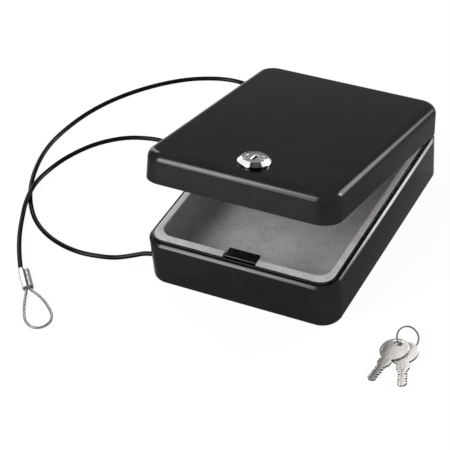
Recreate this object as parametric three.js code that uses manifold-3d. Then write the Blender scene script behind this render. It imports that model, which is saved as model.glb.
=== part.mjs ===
// A portable car safe with its tether cable and two keys. Units are millimetres.
// +Z is up, -Y is the side of the lock, and the origin is the middle of the base's underside.
import * as THREE from "three";
import { mergeVertices } from "three/addons/utils/BufferGeometryUtils.js";
import Module from "manifold-3d";

const wasm = await Module();
wasm.setup();

// Steel box: two pressed pans that meet at the parting line
const boxWidth = 168;
const boxDepth = 226.7;
const baseHeight = 41.9;
const lidHeight = 26;
const cornerRadius = 17.1;
const sheet = 1.2;
const footRound = 4.2;
const lidRound = 7.8;
const baseDraftShare = 0.011;
const lidDraftShare = 0.032;
const shoulderInset = 2.2;
const shoulderStartDegrees = 18;
const shoulderEndDegrees = 58;
const lipInset = 3;
const lipRise = 2.3;
const partingGap = 0.3;
const lidOpenDegrees = 14.5;

// Clearance between pieces that seat on each other, and how far a cut runs past what it cuts
const seatGap = 0.3;
const overrun = 2;
const mergeWithin = 0.0005;

// Foam linings
const linerSideWall = 5.9;
const linerEndWall = 7.7;
const linerFloor = 6.5;
const linerFillet = 4;
const linerCornerRadius = 11;
const linerEdgeRound = 1.4;
const lidPadThickness = 5;
const lidPadMargin = 1.2;
const lidPadHoleRadius = 15.5;

// Catch on the front wall, and the lock above it
const lockOffset = 2.9;
const lockFromFront = 27.3;
const catchOffset = 1.2;
const catchWidth = 27.5;
const catchSetBack = 6.7;
const catchReach = 10.2;
const catchSheet = 1.5;
const catchNeck = 7;
const catchDepth = 22;
const catchBend = 1.6;
const catchPocketMargin = 1;

const bezelBaseRadius = 13.3;
const bezelFaceRadius = 10;
const bezelHeight = 4.6;
const bezelSkirt = 1.7;
const bezelRim = 0.8;
const headThickness = 2;
const headRecess = 0.3;
const barrelRadius = 8;
const barrelAcrossFlats = 14.4;
const barrelBelowLid = 22;
const plugHeadRadius = 6.2;
const plugHeadThickness = 2.4;
const plugRadius = 5.5;
const plugRecess = 0.3;
const plugClearance = 0.25;
const keywayLength = 8.6;
const keywayWidth = 2.5;
const keywayDepth = 20;
const tailAcross = 6.4;
const washerRadius = 11.2;
const washerThickness = 0.8;
const nutAcrossFlats = 21;
const nutThickness = 3.6;

const camThickness = 2;
const camHubRadius = 7;
const camReach = 18.2;
const camWidth = 11.6;
const camCrankStart = 6.4;
const camCrankEnd = 8.8;
const camDrop = 4.2;
const camWasherRadius = 4.8;
const camWasherThickness = 0.8;
const camScrewHeadAcross = 8;
const camScrewHeadHeight = 2.8;
const camScrewRadius = 1.9;
const camScrewLength = 7;

// Hinge across the rear wall
const hingeLength = 96;
const hingeKnuckles = 5;
const knuckleRadius = 2.4;
const pinRadius = 1.1;
const pinHeadRadius = 1.8;
const pinHeadThickness = 0.8;
const leafSheet = 1;
const leafHeight = 14;
const leafCornerRadius = 3;
const rivetPitch = 36;
const rivetCount = 3;
const rivetRadius = 1.5;
const rivetHeadRadius = 3;
const rivetHeadHeight = 1.3;
const rivetTailRadius = 2.5;
const rivetTailHeight = 0.9;

// Tether cable: where it leaves the left wall, and what is on its two ends
const cableRadius = 2;
const cableFromFront = 22;
const cableExitHeight = 8.7;
const bushFlangeRadius = 5;
const bushFlangeThickness = 1.3;
const bushBarrelRadius = 3.4;
const stopRadius = 3.6;
const stopLength = 7.6;
const wireRadius = 1.2;
const sleeveLength = 25;
const sleeveWidth = 9.4;
const sleeveThickness = 5.4;
const sleeveEdge = 0.5;
const sleeveHeading = -49;

// Keys and split ring
const keyThickness = 2;
const bowRadius = 11.4;
const keySlotLength = 7.2;
const keySlotWidth = 4;
const keySlotOffset = 4.6;
const keyNeckWidth = 8.8;
const keyCollarWidth = 10.6;
const keyCollarStart = 13;
const keyCollarEnd = 18.6;
const keyCollarChamfer = 1.6;
const bladeWidth = 7.4;
const bladeEnd = 37;
const bladeTipChamfer = 2.2;
const bladeGrooveWidth = 1.8;
const bladeGrooveDepth = 0.45;
const firstCut = 22.4;
const cutPitch = 2.7;
const cutDepthShares = [0.16, 0.3, 0.12, 0.26, 0.18];
const ringRadius = 8.8;
const ringWireRadial = 1.1;
const ringWireAxial = 0.75;
const ringTurnPitch = 0.95;
const ringWireStartDegrees = 4;
const ringCrossStartDegrees = 330;
const ringCrossDegrees = 30;

// Smoothness of round forms
const cornerSteps = 6;
const roundSteps = 4;
const lidRoundSteps = 6;
const latheSides = 32;
const smallSides = 16;
const rivetSides = 12;
const cableSides = 8;
const cableSteps = 80;
const wireSteps = 30;
const ringStepsPerTurn = 30;

// The cable's route from the bush to the crimp sleeve, chosen by hand, with a hump where it crosses itself
const cableRoute = [
  [-90, -91.3, 8.7],
  [-97, -92.8, 8],
  [-105, -95.6, 6],
  [-113, -98.2, 3.9],
  [-121, -100.6, 2.4],
  [-131, -103.2, 2.1],
  [-151, -105.6, 2.1],
  [-171, -103, 2.1],
  [-191, -95.6, 2.1],
  [-211, -82, 2.1],
  [-231, -58, 2.1],
  [-246, -28, 2.1],
  [-255, 8, 2.1],
  [-254.5, 40, 2.1],
  [-245.5, 78, 2.1],
  [-228.5, 110.7, 2.1],
  [-204, 139, 2.1],
  [-178.5, 157, 2.1],
  [-148, 166.5, 2.1],
  [-120, 163, 2.1],
  [-101, 149, 2.1],
  [-92, 128, 2.1],
  [-93, 104, 2.1],
  [-104, 82, 2.1],
  [-122, 66, 2.1],
  [-146, 58.5, 2.1],
  [-172, 57.5, 2.1],
  [-196, 49.5, 2.1],
  [-217, 31, 2.1],
  [-231, 5, 2.1],
  [-236.3, -20, 2.8],
  [-235.4, -40, 5],
  [-232, -55, 6.6],
  [-228, -69, 6],
  [-222, -85, 3.6],
  [-212.5, -105, 2.2],
  [-200, -125.5, 2.2],
];

// The bare wire's route round its loop, from one barrel of the sleeve to the other
const wireRoute = [
  [-164, -174, 2.2],
  [-157.5, -186, 1.5],
  [-150, -195.5, 1.4],
  [-141, -199.6, 1.4],
  [-134, -196.5, 1.4],
  [-131.3, -189.5, 1.4],
  [-134.5, -181, 1.4],
  [-143, -173.2, 1.5],
  [-154, -166.6, 2.2],
];

// Where the crimp sleeve lies: the middle of its cable end
const sleeveStart = [-184.6, -143.2, 3];

// Where the keys lie beside the box, as the middle and heading of each slot, and how the ring props them up
const keyFaceDirection = [-0.1555, -0.0531, 0.9864];
const upperKeySlot = [137.4, -111.45, 4.88];
const upperKeyHeading = -99.4;
const lowerKeySlot = [141.8, -111.52, 3.06];
const lowerKeyHeading = -69.8;
const ringCentre = [141.7, -103.3, 6.68];
const ringFaceDirection = [0.5098, -0.378, 0.7728];

// Sizes that follow
const lidTop = baseHeight + lidHeight;
const lipTop = baseHeight + lipRise;
const lipInner = lipInset + sheet;
const linerInset = sheet + seatGap;
const linerTopInset = lipInner + seatGap;
const linerFloorTop = linerInset + linerFloor;
const frontFace = -boxDepth / 2;
const rearFace = boxDepth / 2;
const hingeZ = baseHeight + partingGap / 2;
const leafOuter = rearFace - sheet - seatGap - lidDraftShare * leafHeight;
const leafInner = leafOuter - leafSheet;
const hingeY = leafInner + knuckleRadius;
const hingeNotch = knuckleRadius + seatGap;
const rivetHeight = (leafHeight + knuckleRadius + seatGap) / 2;
const lockY = frontFace + lockFromFront;
const barrelEnd = lidTop - barrelBelowLid;
const headTop = lidTop + seatGap + bezelHeight - headRecess;
const plugTop = headTop - plugRecess;
const tailEnd = barrelEnd - seatGap - camThickness - seatGap / 2;
const cableY = frontFace + cableFromFront;
const cableWallX = -boxWidth / 2 + baseDraftShare * (baseHeight - cableExitHeight);
const bushOuter = cableWallX - seatGap - bushFlangeThickness;
const bushInner = cableWallX + sheet + seatGap + bushFlangeThickness;

// Colours and finishes
function finish(color, roughness, metalness) {
  return new THREE.MeshStandardMaterial({ color, roughness, metalness });
}

const blackPaint = finish(0x2b2b2c, 0.42, 0.1);
const blackCatch = finish(0x111112, 0.35, 0.2);
const greyFoam = finish(0xb2b0b1, 0.95, 0);
const chrome = finish(0xd9dadc, 0.12, 1);
const nickel = finish(0xc9c6c1, 0.25, 1);
const zincSteel = finish(0xa9abad, 0.4, 1);
const blackPlastic = finish(0x161617, 0.5, 0);
const blackVinyl = finish(0x1a1a1b, 0.35, 0);
const aluminium = finish(0xc8c9cb, 0.35, 1);

// Solids

// A closed geometry as a solid that can be joined and cut, facing out whichever way its outline ran.
function solidOf(geometry) {
  const bare = geometry.index ? geometry.toNonIndexed() : geometry.clone();
  bare.deleteAttribute("normal");
  bare.deleteAttribute("uv");
  const merged = mergeVertices(bare, mergeWithin);
  const corners = merged.index.array;
  const triangles = [];
  for (let i = 0; i < corners.length; i += 3) {
    const [a, b, c] = [corners[i], corners[i + 1], corners[i + 2]];
    if (a !== b && b !== c && c !== a) triangles.push([a, b, c]);
  }
  const vertProperties = merged.attributes.position.array;
  const made = (list) => {
    const triVerts = new Uint32Array(list.flat());
    return new wasm.Manifold(new wasm.Mesh({ numProp: 3, vertProperties, triVerts }));
  };
  const solid = made(triangles);
  return solid.volume() < 0 ? made(triangles.map(([a, b, c]) => [a, c, b])) : solid;
}

function geometryOf(solid) {
  const mesh = solid.getMesh();
  const geometry = new THREE.BufferGeometry();
  geometry.setAttribute("position", new THREE.BufferAttribute(mesh.vertProperties, 3));
  geometry.setIndex(new THREE.BufferAttribute(mesh.triVerts, 1));
  geometry.computeVertexNormals();
  return geometry;
}

function joined(...solids) {
  return solids.reduce((whole, next) => whole.add(next));
}

function block(x0, x1, y0, y1, z0, z1) {
  const geometry = new THREE.BoxGeometry(x1 - x0, y1 - y0, z1 - z0);
  return solidOf(geometry.translate((x0 + x1) / 2, (y0 + y1) / 2, (z0 + z1) / 2));
}

// A solid of revolution about the Z axis from [radius, height] points that close on the axis or on themselves.
function turned(profile, sides) {
  const points = profile.map(([radius, height]) => new THREE.Vector2(radius, height));
  return solidOf(new THREE.LatheGeometry(points, sides).rotateX(Math.PI / 2));
}

function rod(radius, z0, z1, sides) {
  return turned([[0, z0], [radius, z0], [radius, z1], [0, z1]], sides);
}

function ringOf(inner, outer, z0, z1, sides) {
  return turned([[inner, z0], [outer, z0], [outer, z1], [inner, z1], [inner, z0]], sides);
}

function plate(shape, z0, z1) {
  const depth = z1 - z0;
  const curveSegments = roundSteps * 2;
  const options = { depth, bevelEnabled: false, curveSegments };
  return solidOf(new THREE.ExtrudeGeometry(shape, options).translate(0, 0, z0));
}

// The same solid with its Z axis laid along X or Y, or moved.
function alongX(solid) {
  return solid.rotate([0, 90, 0]);
}

function alongY(solid) {
  return solid.rotate([-90, 0, 0]);
}

function outline(points) {
  return new THREE.Shape(points.map(([x, y]) => new THREE.Vector2(x, y)));
}

function tube(route, radius, sides, steps) {
  const path = new THREE.CatmullRomCurve3(route.map((point) => new THREE.Vector3(...point)));
  const corners = [];
  for (let side = 0; side < sides; side++) {
    const angle = ((side + 0.5) / sides) * Math.PI * 2;
    corners.push([radius * Math.cos(angle), radius * Math.sin(angle)]);
  }
  return solidOf(new THREE.ExtrudeGeometry(outline(corners), { steps, extrudePath: path }));
}

// Rounded rectangles and the skins through them

function roundedRing(halfX, halfY, radius, z) {
  const points = [];
  for (let corner = 0; corner < 4; corner++) {
    const signX = corner === 0 || corner === 3 ? 1 : -1;
    const signY = corner < 2 ? 1 : -1;
    for (let step = 0; step <= cornerSteps; step++) {
      const angle = ((corner + step / cornerSteps) * Math.PI) / 2;
      const x = signX * (halfX - radius) + radius * Math.cos(angle);
      const y = signY * (halfY - radius) + radius * Math.sin(angle);
      points.push([x, y, z]);
    }
  }
  return points;
}

// The box's plan drawn in by an inset, at height z.
function boxRing([inset, z]) {
  return roundedRing(boxWidth / 2 - inset, boxDepth / 2 - inset, cornerRadius - inset, z);
}

// A closed skin through rings of equal counts, with a flat cap on the first and on the last.
function loft(rings) {
  const count = rings[0].length;
  const positions = rings.flat(2);
  const indices = [];
  for (let level = 0; level + 1 < rings.length; level++) {
    for (let i = 0; i < count; i++) {
      const near = level * count + i;
      const next = level * count + ((i + 1) % count);
      indices.push(near, next, next + count, near, next + count, near + count);
    }
  }
  const lastStart = (rings.length - 1) * count;
  const firstCentre = rings.length * count;
  positions.push(0, 0, rings[0][0][2], 0, 0, rings[rings.length - 1][0][2]);
  for (let i = 0; i < count; i++) {
    const next = (i + 1) % count;
    indices.push(firstCentre, next, i, firstCentre + 1, lastStart + i, lastStart + next);
  }
  const geometry = new THREE.BufferGeometry();
  geometry.setAttribute("position", new THREE.Float32BufferAttribute(positions, 3));
  geometry.setIndex(indices);
  return solidOf(geometry);
}

// A pressed pan's side as [inset, distance from the parting line], from its closed face out to its wall.
function panSide(height, round, draftShare, inset, steps) {
  const points = [];
  for (let step = 0; step <= steps; step++) {
    const angle = ((1 - step / steps) * Math.PI) / 2;
    const reach = round - inset;
    const distance = height - round + reach * Math.sin(angle);
    points.push([inset + reach * (1 - Math.cos(angle)) + draftShare * distance, distance]);
  }
  return points;
}

function basePanSide(inset) {
  const side = panSide(baseHeight, footRound, baseDraftShare, inset, roundSteps);
  return side.map(([in_, distance]) => [in_, baseHeight - distance]);
}

function lidPanSide(inset) {
  const side = panSide(lidHeight, lidRound, lidDraftShare, inset, lidRoundSteps);
  return side.map(([in_, distance]) => [in_, baseHeight + distance]);
}

// Base

function hingeCut(inset, z0, z1) {
  const half = hingeLength / 2 + seatGap + pinHeadThickness + seatGap;
  return block(-half, half, rearFace - inset, rearFace + overrun, z0, z1);
}

function rivetPlaces(z) {
  return Array.from({ length: rivetCount }, (_, i) => [(i - (rivetCount - 1) / 2) * rivetPitch, z]);
}

function rivetHoles(z) {
  const holes = rivetPlaces(z).map(([x]) => {
    const hole = rod(rivetRadius + seatGap, leafInner - overrun, rearFace + overrun, rivetSides);
    return alongY(hole).translate([x, 0, z]);
  });
  return joined(...holes);
}

// The shoulder's curve from the wall up to the flat on top, drawn in by a thickness.
function shoulderSide(inset) {
  const start = THREE.MathUtils.degToRad(shoulderStartDegrees);
  const end = THREE.MathUtils.degToRad(shoulderEndDegrees);
  const radius = shoulderInset / (Math.cos(start) - Math.cos(end));
  const reach = radius - inset;
  const points = [];
  for (let step = 0; step <= roundSteps; step++) {
    const angle = THREE.MathUtils.lerp(start, end, step / roundSteps);
    const drawn = radius * Math.cos(start) - reach * Math.cos(angle);
    points.push([Math.max(drawn, inset), baseHeight - radius * Math.sin(end) + reach * Math.sin(angle)]);
  }
  return points;
}

function baseShell() {
  const lip = [
    [lipInset, baseHeight],
    [lipInset, lipTop],
    [lipInner, lipTop],
    [lipInner, baseHeight - sheet],
  ];
  const outside = [...basePanSide(0), ...shoulderSide(0)];
  const profile = [...outside, ...lip, ...shoulderSide(sheet).reverse(), ...basePanSide(sheet).reverse()];
  const cableHole = rod(bushBarrelRadius + seatGap, cableWallX - overrun, cableWallX + overrun * 2, smallSides);
  return loft(profile.map(boxRing))
    .subtract(hingeCut(lipInner + seatGap, baseHeight - hingeNotch, lipTop + overrun))
    .subtract(rivetHoles(hingeZ - rivetHeight))
    .subtract(alongX(cableHole).translate([0, cableY, cableExitHeight]));
}

function linerRing([insetX, insetY, radius, z]) {
  return roundedRing(boxWidth / 2 - insetX, boxDepth / 2 - insetY, radius, z);
}

function baseLiner() {
  const outside = [...basePanSide(linerInset), ...shoulderSide(linerInset)];
  outside.push([linerTopInset, baseHeight - sheet - seatGap]);
  outside.push([linerTopInset, lipTop - linerEdgeRound / 2]);
  outside.push([linerTopInset + linerEdgeRound / 2, lipTop]);
  const inside = [];
  for (let step = 0; step <= roundSteps; step++) {
    const angle = ((step / roundSteps) * Math.PI) / 2;
    const drawn = linerEdgeRound * (1 - Math.sin(angle));
    inside.push([-drawn, lipTop - linerEdgeRound * (1 - Math.cos(angle))]);
  }
  for (let step = 0; step <= roundSteps; step++) {
    const angle = ((step / roundSteps) * Math.PI) / 2;
    const drawn = linerFillet * (1 - Math.cos(angle));
    inside.push([drawn, linerFloorTop + linerFillet * (1 - Math.sin(angle))]);
  }
  const insideRings = inside.map(([drawn, z]) => {
    const radius = linerCornerRadius - drawn;
    return linerRing([linerTopInset + linerSideWall + drawn, linerTopInset + linerEndWall + drawn, radius, z]);
  });
  const pocketHalf = catchWidth / 2 + catchPocketMargin;
  const pocketEnd = frontFace + linerTopInset + linerEndWall + overrun;
  const pocketFloor = lipTop - catchDepth - seatGap;
  const top = lipTop + overrun;
  const pocket = block(catchOffset - pocketHalf, catchOffset + pocketHalf, frontFace, pocketEnd, pocketFloor, top);
  const hingeInset = rearFace - leafInner + seatGap * 2 + rivetTailHeight;
  const stopEnd = cableWallX + linerTopInset + linerSideWall + overrun;
  const stopPocket = rod(stopRadius + seatGap * 2, cableWallX, stopEnd, smallSides);
  return loft([...outside.map(boxRing), ...insideRings])
    .subtract(pocket)
    .subtract(hingeCut(hingeInset, hingeZ - leafHeight - seatGap, top))
    .subtract(bushPocket())
    .subtract(alongX(stopPocket).translate([0, cableY, cableExitHeight]));
}

function bushPocket() {
  const hole = rod(bushFlangeRadius + seatGap, cableWallX, bushInner + seatGap, smallSides);
  return alongX(hole).translate([0, cableY, cableExitHeight]);
}

// A bent plate: its shelf is level with the lip, its neck runs down behind the lip, its foot lies on the wall.
function catchBracket() {
  const neck = frontFace + catchSetBack;
  const shelfEnd = neck + catchReach;
  const foot = frontFace + sheet + seatGap + baseDraftShare * (baseHeight + catchDepth);
  const kneeTop = lipTop - catchNeck;
  const kneeEnd = kneeTop - (neck - foot);
  const profile = new THREE.Shape();
  profile.moveTo(shelfEnd, lipTop);
  profile.lineTo(neck + catchBend, lipTop);
  profile.absarc(neck + catchBend, lipTop - catchBend, catchBend, Math.PI / 2, Math.PI, false);
  profile.lineTo(neck, kneeTop);
  profile.lineTo(foot, kneeEnd);
  profile.lineTo(foot, lipTop - catchDepth);
  profile.lineTo(foot + catchSheet, lipTop - catchDepth);
  profile.lineTo(foot + catchSheet, kneeEnd);
  profile.lineTo(neck + catchSheet, kneeTop);
  profile.lineTo(neck + catchSheet, lipTop - catchSheet);
  profile.lineTo(shelfEnd, lipTop - catchSheet);
  const bent = plate(profile, -catchWidth / 2, catchWidth / 2);
  return bent.rotate([90, 0, 90]).translate([catchOffset, 0, 0]);
}

// Hinge: knuckles are numbered from the left, and the base leaf has the odd places

function knuckleSpan(index) {
  const pitch = hingeLength / hingeKnuckles;
  const start = -hingeLength / 2 + index * pitch;
  return [start + seatGap / 2, start + pitch - seatGap / 2];
}

// A leaf with its knuckles on the axis and its plate hanging down from them by the leaf's height.
function hingeLeaf(firstKnuckle) {
  const half = hingeLength / 2 - seatGap;
  const low = -leafHeight;
  const shoulder = -knuckleRadius - seatGap;
  const corner = leafCornerRadius;
  const face = new THREE.Shape();
  face.moveTo(-half, shoulder);
  face.lineTo(-half, low + corner);
  face.absarc(-half + corner, low + corner, corner, Math.PI, Math.PI * 1.5, false);
  face.absarc(half - corner, low + corner, corner, Math.PI * 1.5, Math.PI * 2, false);
  face.lineTo(half, shoulder);
  let leaf = plate(face, -(leafOuter - hingeY), -(leafInner - hingeY)).rotate([90, 0, 0]);
  for (let index = firstKnuckle; index < hingeKnuckles; index += 2) {
    const [x0, x1] = knuckleSpan(index);
    const strip = block(x0, x1, leafInner - hingeY, leafOuter - hingeY, shoulder - seatGap, 0);
    leaf = joined(leaf, alongX(rod(knuckleRadius, x0, x1, smallSides)), strip);
  }
  const bore = alongX(rod(pinRadius + seatGap, -hingeLength, hingeLength, smallSides));
  const holes = rivetHoles(-rivetHeight).translate([0, -hingeY, 0]);
  return leaf.subtract(bore).subtract(holes).translate([0, hingeY, 0]);
}

function hingePin() {
  const half = hingeLength / 2 + seatGap;
  const end = half + pinHeadThickness;
  const profile = [
    [0, -end],
    [pinHeadRadius, -end],
    [pinHeadRadius, -half],
    [pinRadius, -half],
    [pinRadius, half],
    [pinHeadRadius, half],
    [pinHeadRadius, end],
    [0, end],
  ];
  return alongX(turned(profile, smallSides)).translate([0, hingeY, hingeZ]);
}

// A rivet along Y: a domed head outside the rear wall, and a flat tail inside the leaf.
function rivet(x, z, wallInset) {
  const seat = rearFace - wallInset + seatGap;
  const tail = leafInner - seatGap;
  const dome = [];
  for (let step = 0; step <= roundSteps; step++) {
    const angle = ((step / roundSteps) * Math.PI) / 2;
    dome.push([rivetHeadRadius * Math.cos(angle), seat + rivetHeadHeight * Math.sin(angle)]);
  }
  dome[roundSteps][0] = 0;
  const profile = [
    [0, tail - rivetTailHeight],
    [rivetTailRadius, tail - rivetTailHeight],
    [rivetTailRadius, tail],
    [rivetRadius, tail],
    [rivetRadius, seat],
    ...dome,
  ];
  return alongY(turned(profile, rivetSides)).translate([x, 0, z]);
}

// Cable and its ends

function cableBush() {
  const bore = cableRadius + seatGap;
  const profile = [
    [bore, bushOuter],
    [bushFlangeRadius - seatGap, bushOuter],
    [bushFlangeRadius, bushOuter + seatGap],
    [bushFlangeRadius, cableWallX - seatGap],
    [bushBarrelRadius, cableWallX - seatGap],
    [bushBarrelRadius, cableWallX + sheet + seatGap],
    [bushFlangeRadius, cableWallX + sheet + seatGap],
    [bushFlangeRadius, bushInner - seatGap],
    [bushFlangeRadius - seatGap, bushInner],
    [bore, bushInner],
    [bore, bushOuter],
  ];
  return alongX(turned(profile, smallSides)).translate([0, cableY, cableExitHeight]);
}

// The stop is swaged on the cable's inner end, so the stretch in the bush is one with it.
function cableStop() {
  const start = bushInner + seatGap;
  const profile = [
    [0, bushOuter],
    [cableRadius, bushOuter],
    [cableRadius, start],
    [stopRadius - sleeveEdge, start],
    [stopRadius, start + sleeveEdge],
    [stopRadius, start + stopLength - sleeveEdge],
    [stopRadius - sleeveEdge, start + stopLength],
    [0, start + stopLength],
  ];
  return alongX(turned(profile, smallSides)).translate([0, cableY, cableExitHeight]);
}

// A point of the sleeve: how far along it, and how far to the side of its middle line.
function sleevePoint(along, aside) {
  const heading = THREE.MathUtils.degToRad(sleeveHeading);
  const [x, y, z] = sleeveStart;
  const east = along * Math.cos(heading) + aside * Math.sin(heading);
  const north = along * Math.sin(heading) - aside * Math.cos(heading);
  return [x + east, y + north, z];
}

const barrelOffset = (sleeveWidth - sleeveThickness) / 2;

function cable() {
  const start = [bushOuter - seatGap, cableY, cableExitHeight];
  const route = [start, ...cableRoute, sleevePoint(-cableRadius, barrelOffset), sleevePoint(-seatGap, barrelOffset)];
  return tube(route, cableRadius, cableSides, cableSteps);
}

function wireLoop() {
  const start = sleeveLength + seatGap;
  const straight = start + wireRadius * 2;
  const first = [sleevePoint(start, barrelOffset), sleevePoint(straight, barrelOffset)];
  const last = [sleevePoint(straight, -barrelOffset), sleevePoint(start, -barrelOffset)];
  return tube([...first, ...wireRoute, ...last], wireRadius, cableSides, wireSteps);
}

function crimpSleeve() {
  const end = sleeveThickness / 2;
  const section = (shrink) => {
    const shape = new THREE.Shape();
    shape.absarc(barrelOffset, 0, end - shrink, -Math.PI / 2, Math.PI / 2, false);
    shape.absarc(-barrelOffset, 0, end - shrink, Math.PI / 2, Math.PI * 1.5, false);
    return shape;
  };
  const body = joined(
    plate(section(0), sleeveEdge, sleeveLength - sleeveEdge),
    plate(section(sleeveEdge), 0, sleeveLength),
  );
  return body.rotate([90, 0, 0]).rotate([0, 0, sleeveHeading + 90]).translate(sleeveStart);
}

// Lid

function lidShell() {
  const outside = lidPanSide(0);
  const edge = baseHeight + partingGap;
  const profile = [...outside, [0, edge], [sheet, edge], ...lidPanSide(sheet).reverse()];
  return loft(profile.map(boxRing))
    .subtract(hingeCut(sheet + overrun, baseHeight, baseHeight + partingGap + hingeNotch))
    .subtract(rivetHoles(hingeZ + rivetHeight))
    .subtract(barrel(barrelRadius + seatGap, barrelAcrossFlats / 2 + seatGap, lidTop - overrun * 2, lidTop + overrun));
}

function lidPad() {
  const inset = lidRound + lidPadMargin + lidDraftShare * lidHeight;
  const top = lidTop - sheet - seatGap;
  const bottom = top - lidPadThickness;
  const rounded = inset + linerEdgeRound;
  const profile = [[inset, top], [inset, bottom + linerEdgeRound], [rounded, bottom]];
  const hole = rod(lidPadHoleRadius, bottom - overrun, top + overrun, latheSides);
  return loft(profile.map(boxRing)).subtract(hole.translate([lockOffset, lockY, 0]));
}

// Lock, on its own axis

function barrel(radius, halfAcross, z0, z1) {
  const flats = block(-halfAcross, halfAcross, -boxWidth, boxWidth, z0, z1);
  return rod(radius, z0, z1, latheSides).intersect(flats).translate([lockOffset, lockY, 0]);
}

function lockPiece(solid) {
  return solid.translate([lockOffset, lockY, 0]);
}

function lockBezel() {
  const foot = lidTop + seatGap;
  const top = foot + bezelHeight;
  const bore = barrelRadius + seatGap;
  const counterbore = bezelFaceRadius - bezelRim;
  const seat = headTop - headThickness - seatGap;
  const profile = [
    [bore, foot],
    [bezelBaseRadius, foot],
    [bezelBaseRadius, foot + bezelSkirt],
    [bezelFaceRadius + bezelRim / 2, top - bezelRim / 2],
    [bezelFaceRadius, top],
    [counterbore, top],
    [counterbore, seat],
    [bore, seat],
    [bore, foot],
  ];
  return lockPiece(turned(profile, latheSides));
}

function lockBody() {
  const headRadius = bezelFaceRadius - bezelRim - seatGap;
  const under = headTop - headThickness;
  const head = turned(
    [[0, under], [headRadius, under], [headRadius, headTop - bezelRim / 2], [headRadius - bezelRim / 2, headTop], [0, headTop]],
    latheSides,
  );
  const bores = joined(
    rod(plugRadius + plugClearance, barrelEnd - overrun, headTop, latheSides),
    rod(plugHeadRadius + plugClearance, plugTop - plugHeadThickness - plugClearance, headTop + overrun, latheSides),
  );
  const stem = barrel(barrelRadius, barrelAcrossFlats / 2, barrelEnd, under + seatGap);
  return joined(lockPiece(head), stem).subtract(lockPiece(bores));
}

function lockPlug() {
  const round = turned(
    [
      [0, barrelEnd],
      [plugRadius, barrelEnd],
      [plugRadius, plugTop - plugHeadThickness],
      [plugHeadRadius, plugTop - plugHeadThickness],
      [plugHeadRadius, plugTop],
      [0, plugTop],
    ],
    latheSides,
  );
  const half = tailAcross / 2;
  const tail = block(-half, half, -half, half, tailEnd, barrelEnd + seatGap);
  const length = keywayLength / 2;
  const width = keywayWidth / 2;
  const keyway = block(-width, width, -length, length, plugTop - keywayDepth, plugTop + overrun);
  const tapped = rod(camScrewRadius + seatGap, tailEnd - overrun, tailEnd + camScrewLength + seatGap, smallSides);
  return lockPiece(joined(round, tail).subtract(keyway).subtract(tapped));
}

function lockWasher() {
  const top = lidTop - sheet - seatGap;
  return lockPiece(ringOf(barrelRadius + seatGap, washerRadius, top - washerThickness, top, latheSides));
}

function hexagon(across) {
  const corner = across / Math.sqrt(3);
  return outline(Array.from({ length: 6 }, (_, i) => {
    const angle = (i * Math.PI) / 3;
    return [corner * Math.cos(angle), corner * Math.sin(angle)];
  }));
}

function lockNut() {
  const top = lidTop - sheet - seatGap - washerThickness - seatGap;
  const bore = rod(barrelRadius + seatGap, top - nutThickness - overrun, top + overrun, latheSides);
  return lockPiece(plate(hexagon(nutAcrossFlats), top - nutThickness, top).subtract(bore));
}

// A cranked cam: its hub sits on the plug's square tail and its arm runs lower, under the catch's shelf.
function lockCam() {
  const top = barrelEnd - seatGap;
  const side = outline([
    [-camHubRadius, top],
    [camCrankStart, top],
    [camCrankEnd, top - camDrop],
    [camReach, top - camDrop],
    [camReach, top - camDrop - camThickness],
    [camCrankEnd - camThickness / 2, top - camDrop - camThickness],
    [camCrankStart - camThickness / 2, top - camThickness],
    [-camHubRadius, top - camThickness],
  ]);
  const bent = plate(side, -camHubRadius, camHubRadius).rotate([90, 0, 0]);
  const half = camWidth / 2;
  const plan = new THREE.Shape();
  const meet = Math.asin(half / camHubRadius);
  plan.absarc(0, 0, camHubRadius, meet, Math.PI * 2 - meet, false);
  plan.lineTo(camReach - half / 2, -half);
  plan.absarc(camReach - half / 2, -half / 2, half / 2, -Math.PI / 2, 0, false);
  plan.absarc(camReach - half / 2, half / 2, half / 2, 0, Math.PI / 2, false);
  const cut = plate(plan, top - camDrop - camThickness - overrun, top + overrun);
  const hole = tailAcross / 2 + seatGap / 2;
  const square = block(-hole, hole, -hole, hole, top - camThickness - overrun, top + overrun);
  return lockPiece(bent.intersect(cut).subtract(square));
}

function camWasher() {
  const top = tailEnd - seatGap / 2;
  return lockPiece(ringOf(camScrewRadius + seatGap, camWasherRadius, top - camWasherThickness, top, smallSides));
}

function camScrew() {
  const seat = tailEnd - seatGap / 2 - camWasherThickness - seatGap / 2;
  const head = plate(hexagon(camScrewHeadAcross), seat - camScrewHeadHeight, seat);
  return lockPiece(joined(head, rod(camScrewRadius, seat - seatGap, tailEnd + camScrewLength, smallSides)));
}

// Keys, each in its own plane: the slot at the origin, the blade towards -Y

function bladeEdge(side) {
  const half = bladeWidth / 2;
  const points = [[side * half, -keyCollarEnd - keyCollarChamfer]];
  cutDepthShares.forEach((share, i) => {
    const middle = -firstCut - i * cutPitch;
    const deep = half - share * bladeWidth;
    points.push([side * half, middle + cutPitch * 0.42]);
    points.push([side * deep, middle + cutPitch * 0.16]);
    points.push([side * deep, middle - cutPitch * 0.16]);
    points.push([side * half, middle - cutPitch * 0.42]);
  });
  points.push([side * half, -bladeEnd + bladeTipChamfer]);
  points.push([side * (half - bladeTipChamfer), -bladeEnd]);
  return points;
}

function keySide(side) {
  const neck = keyNeckWidth / 2;
  const collar = keyCollarWidth / 2;
  return [
    [side * neck, -keyCollarStart + keyCollarChamfer / 2],
    [side * collar, -keyCollarStart],
    [side * collar, -keyCollarEnd],
    ...bladeEdge(side),
  ];
}

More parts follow.
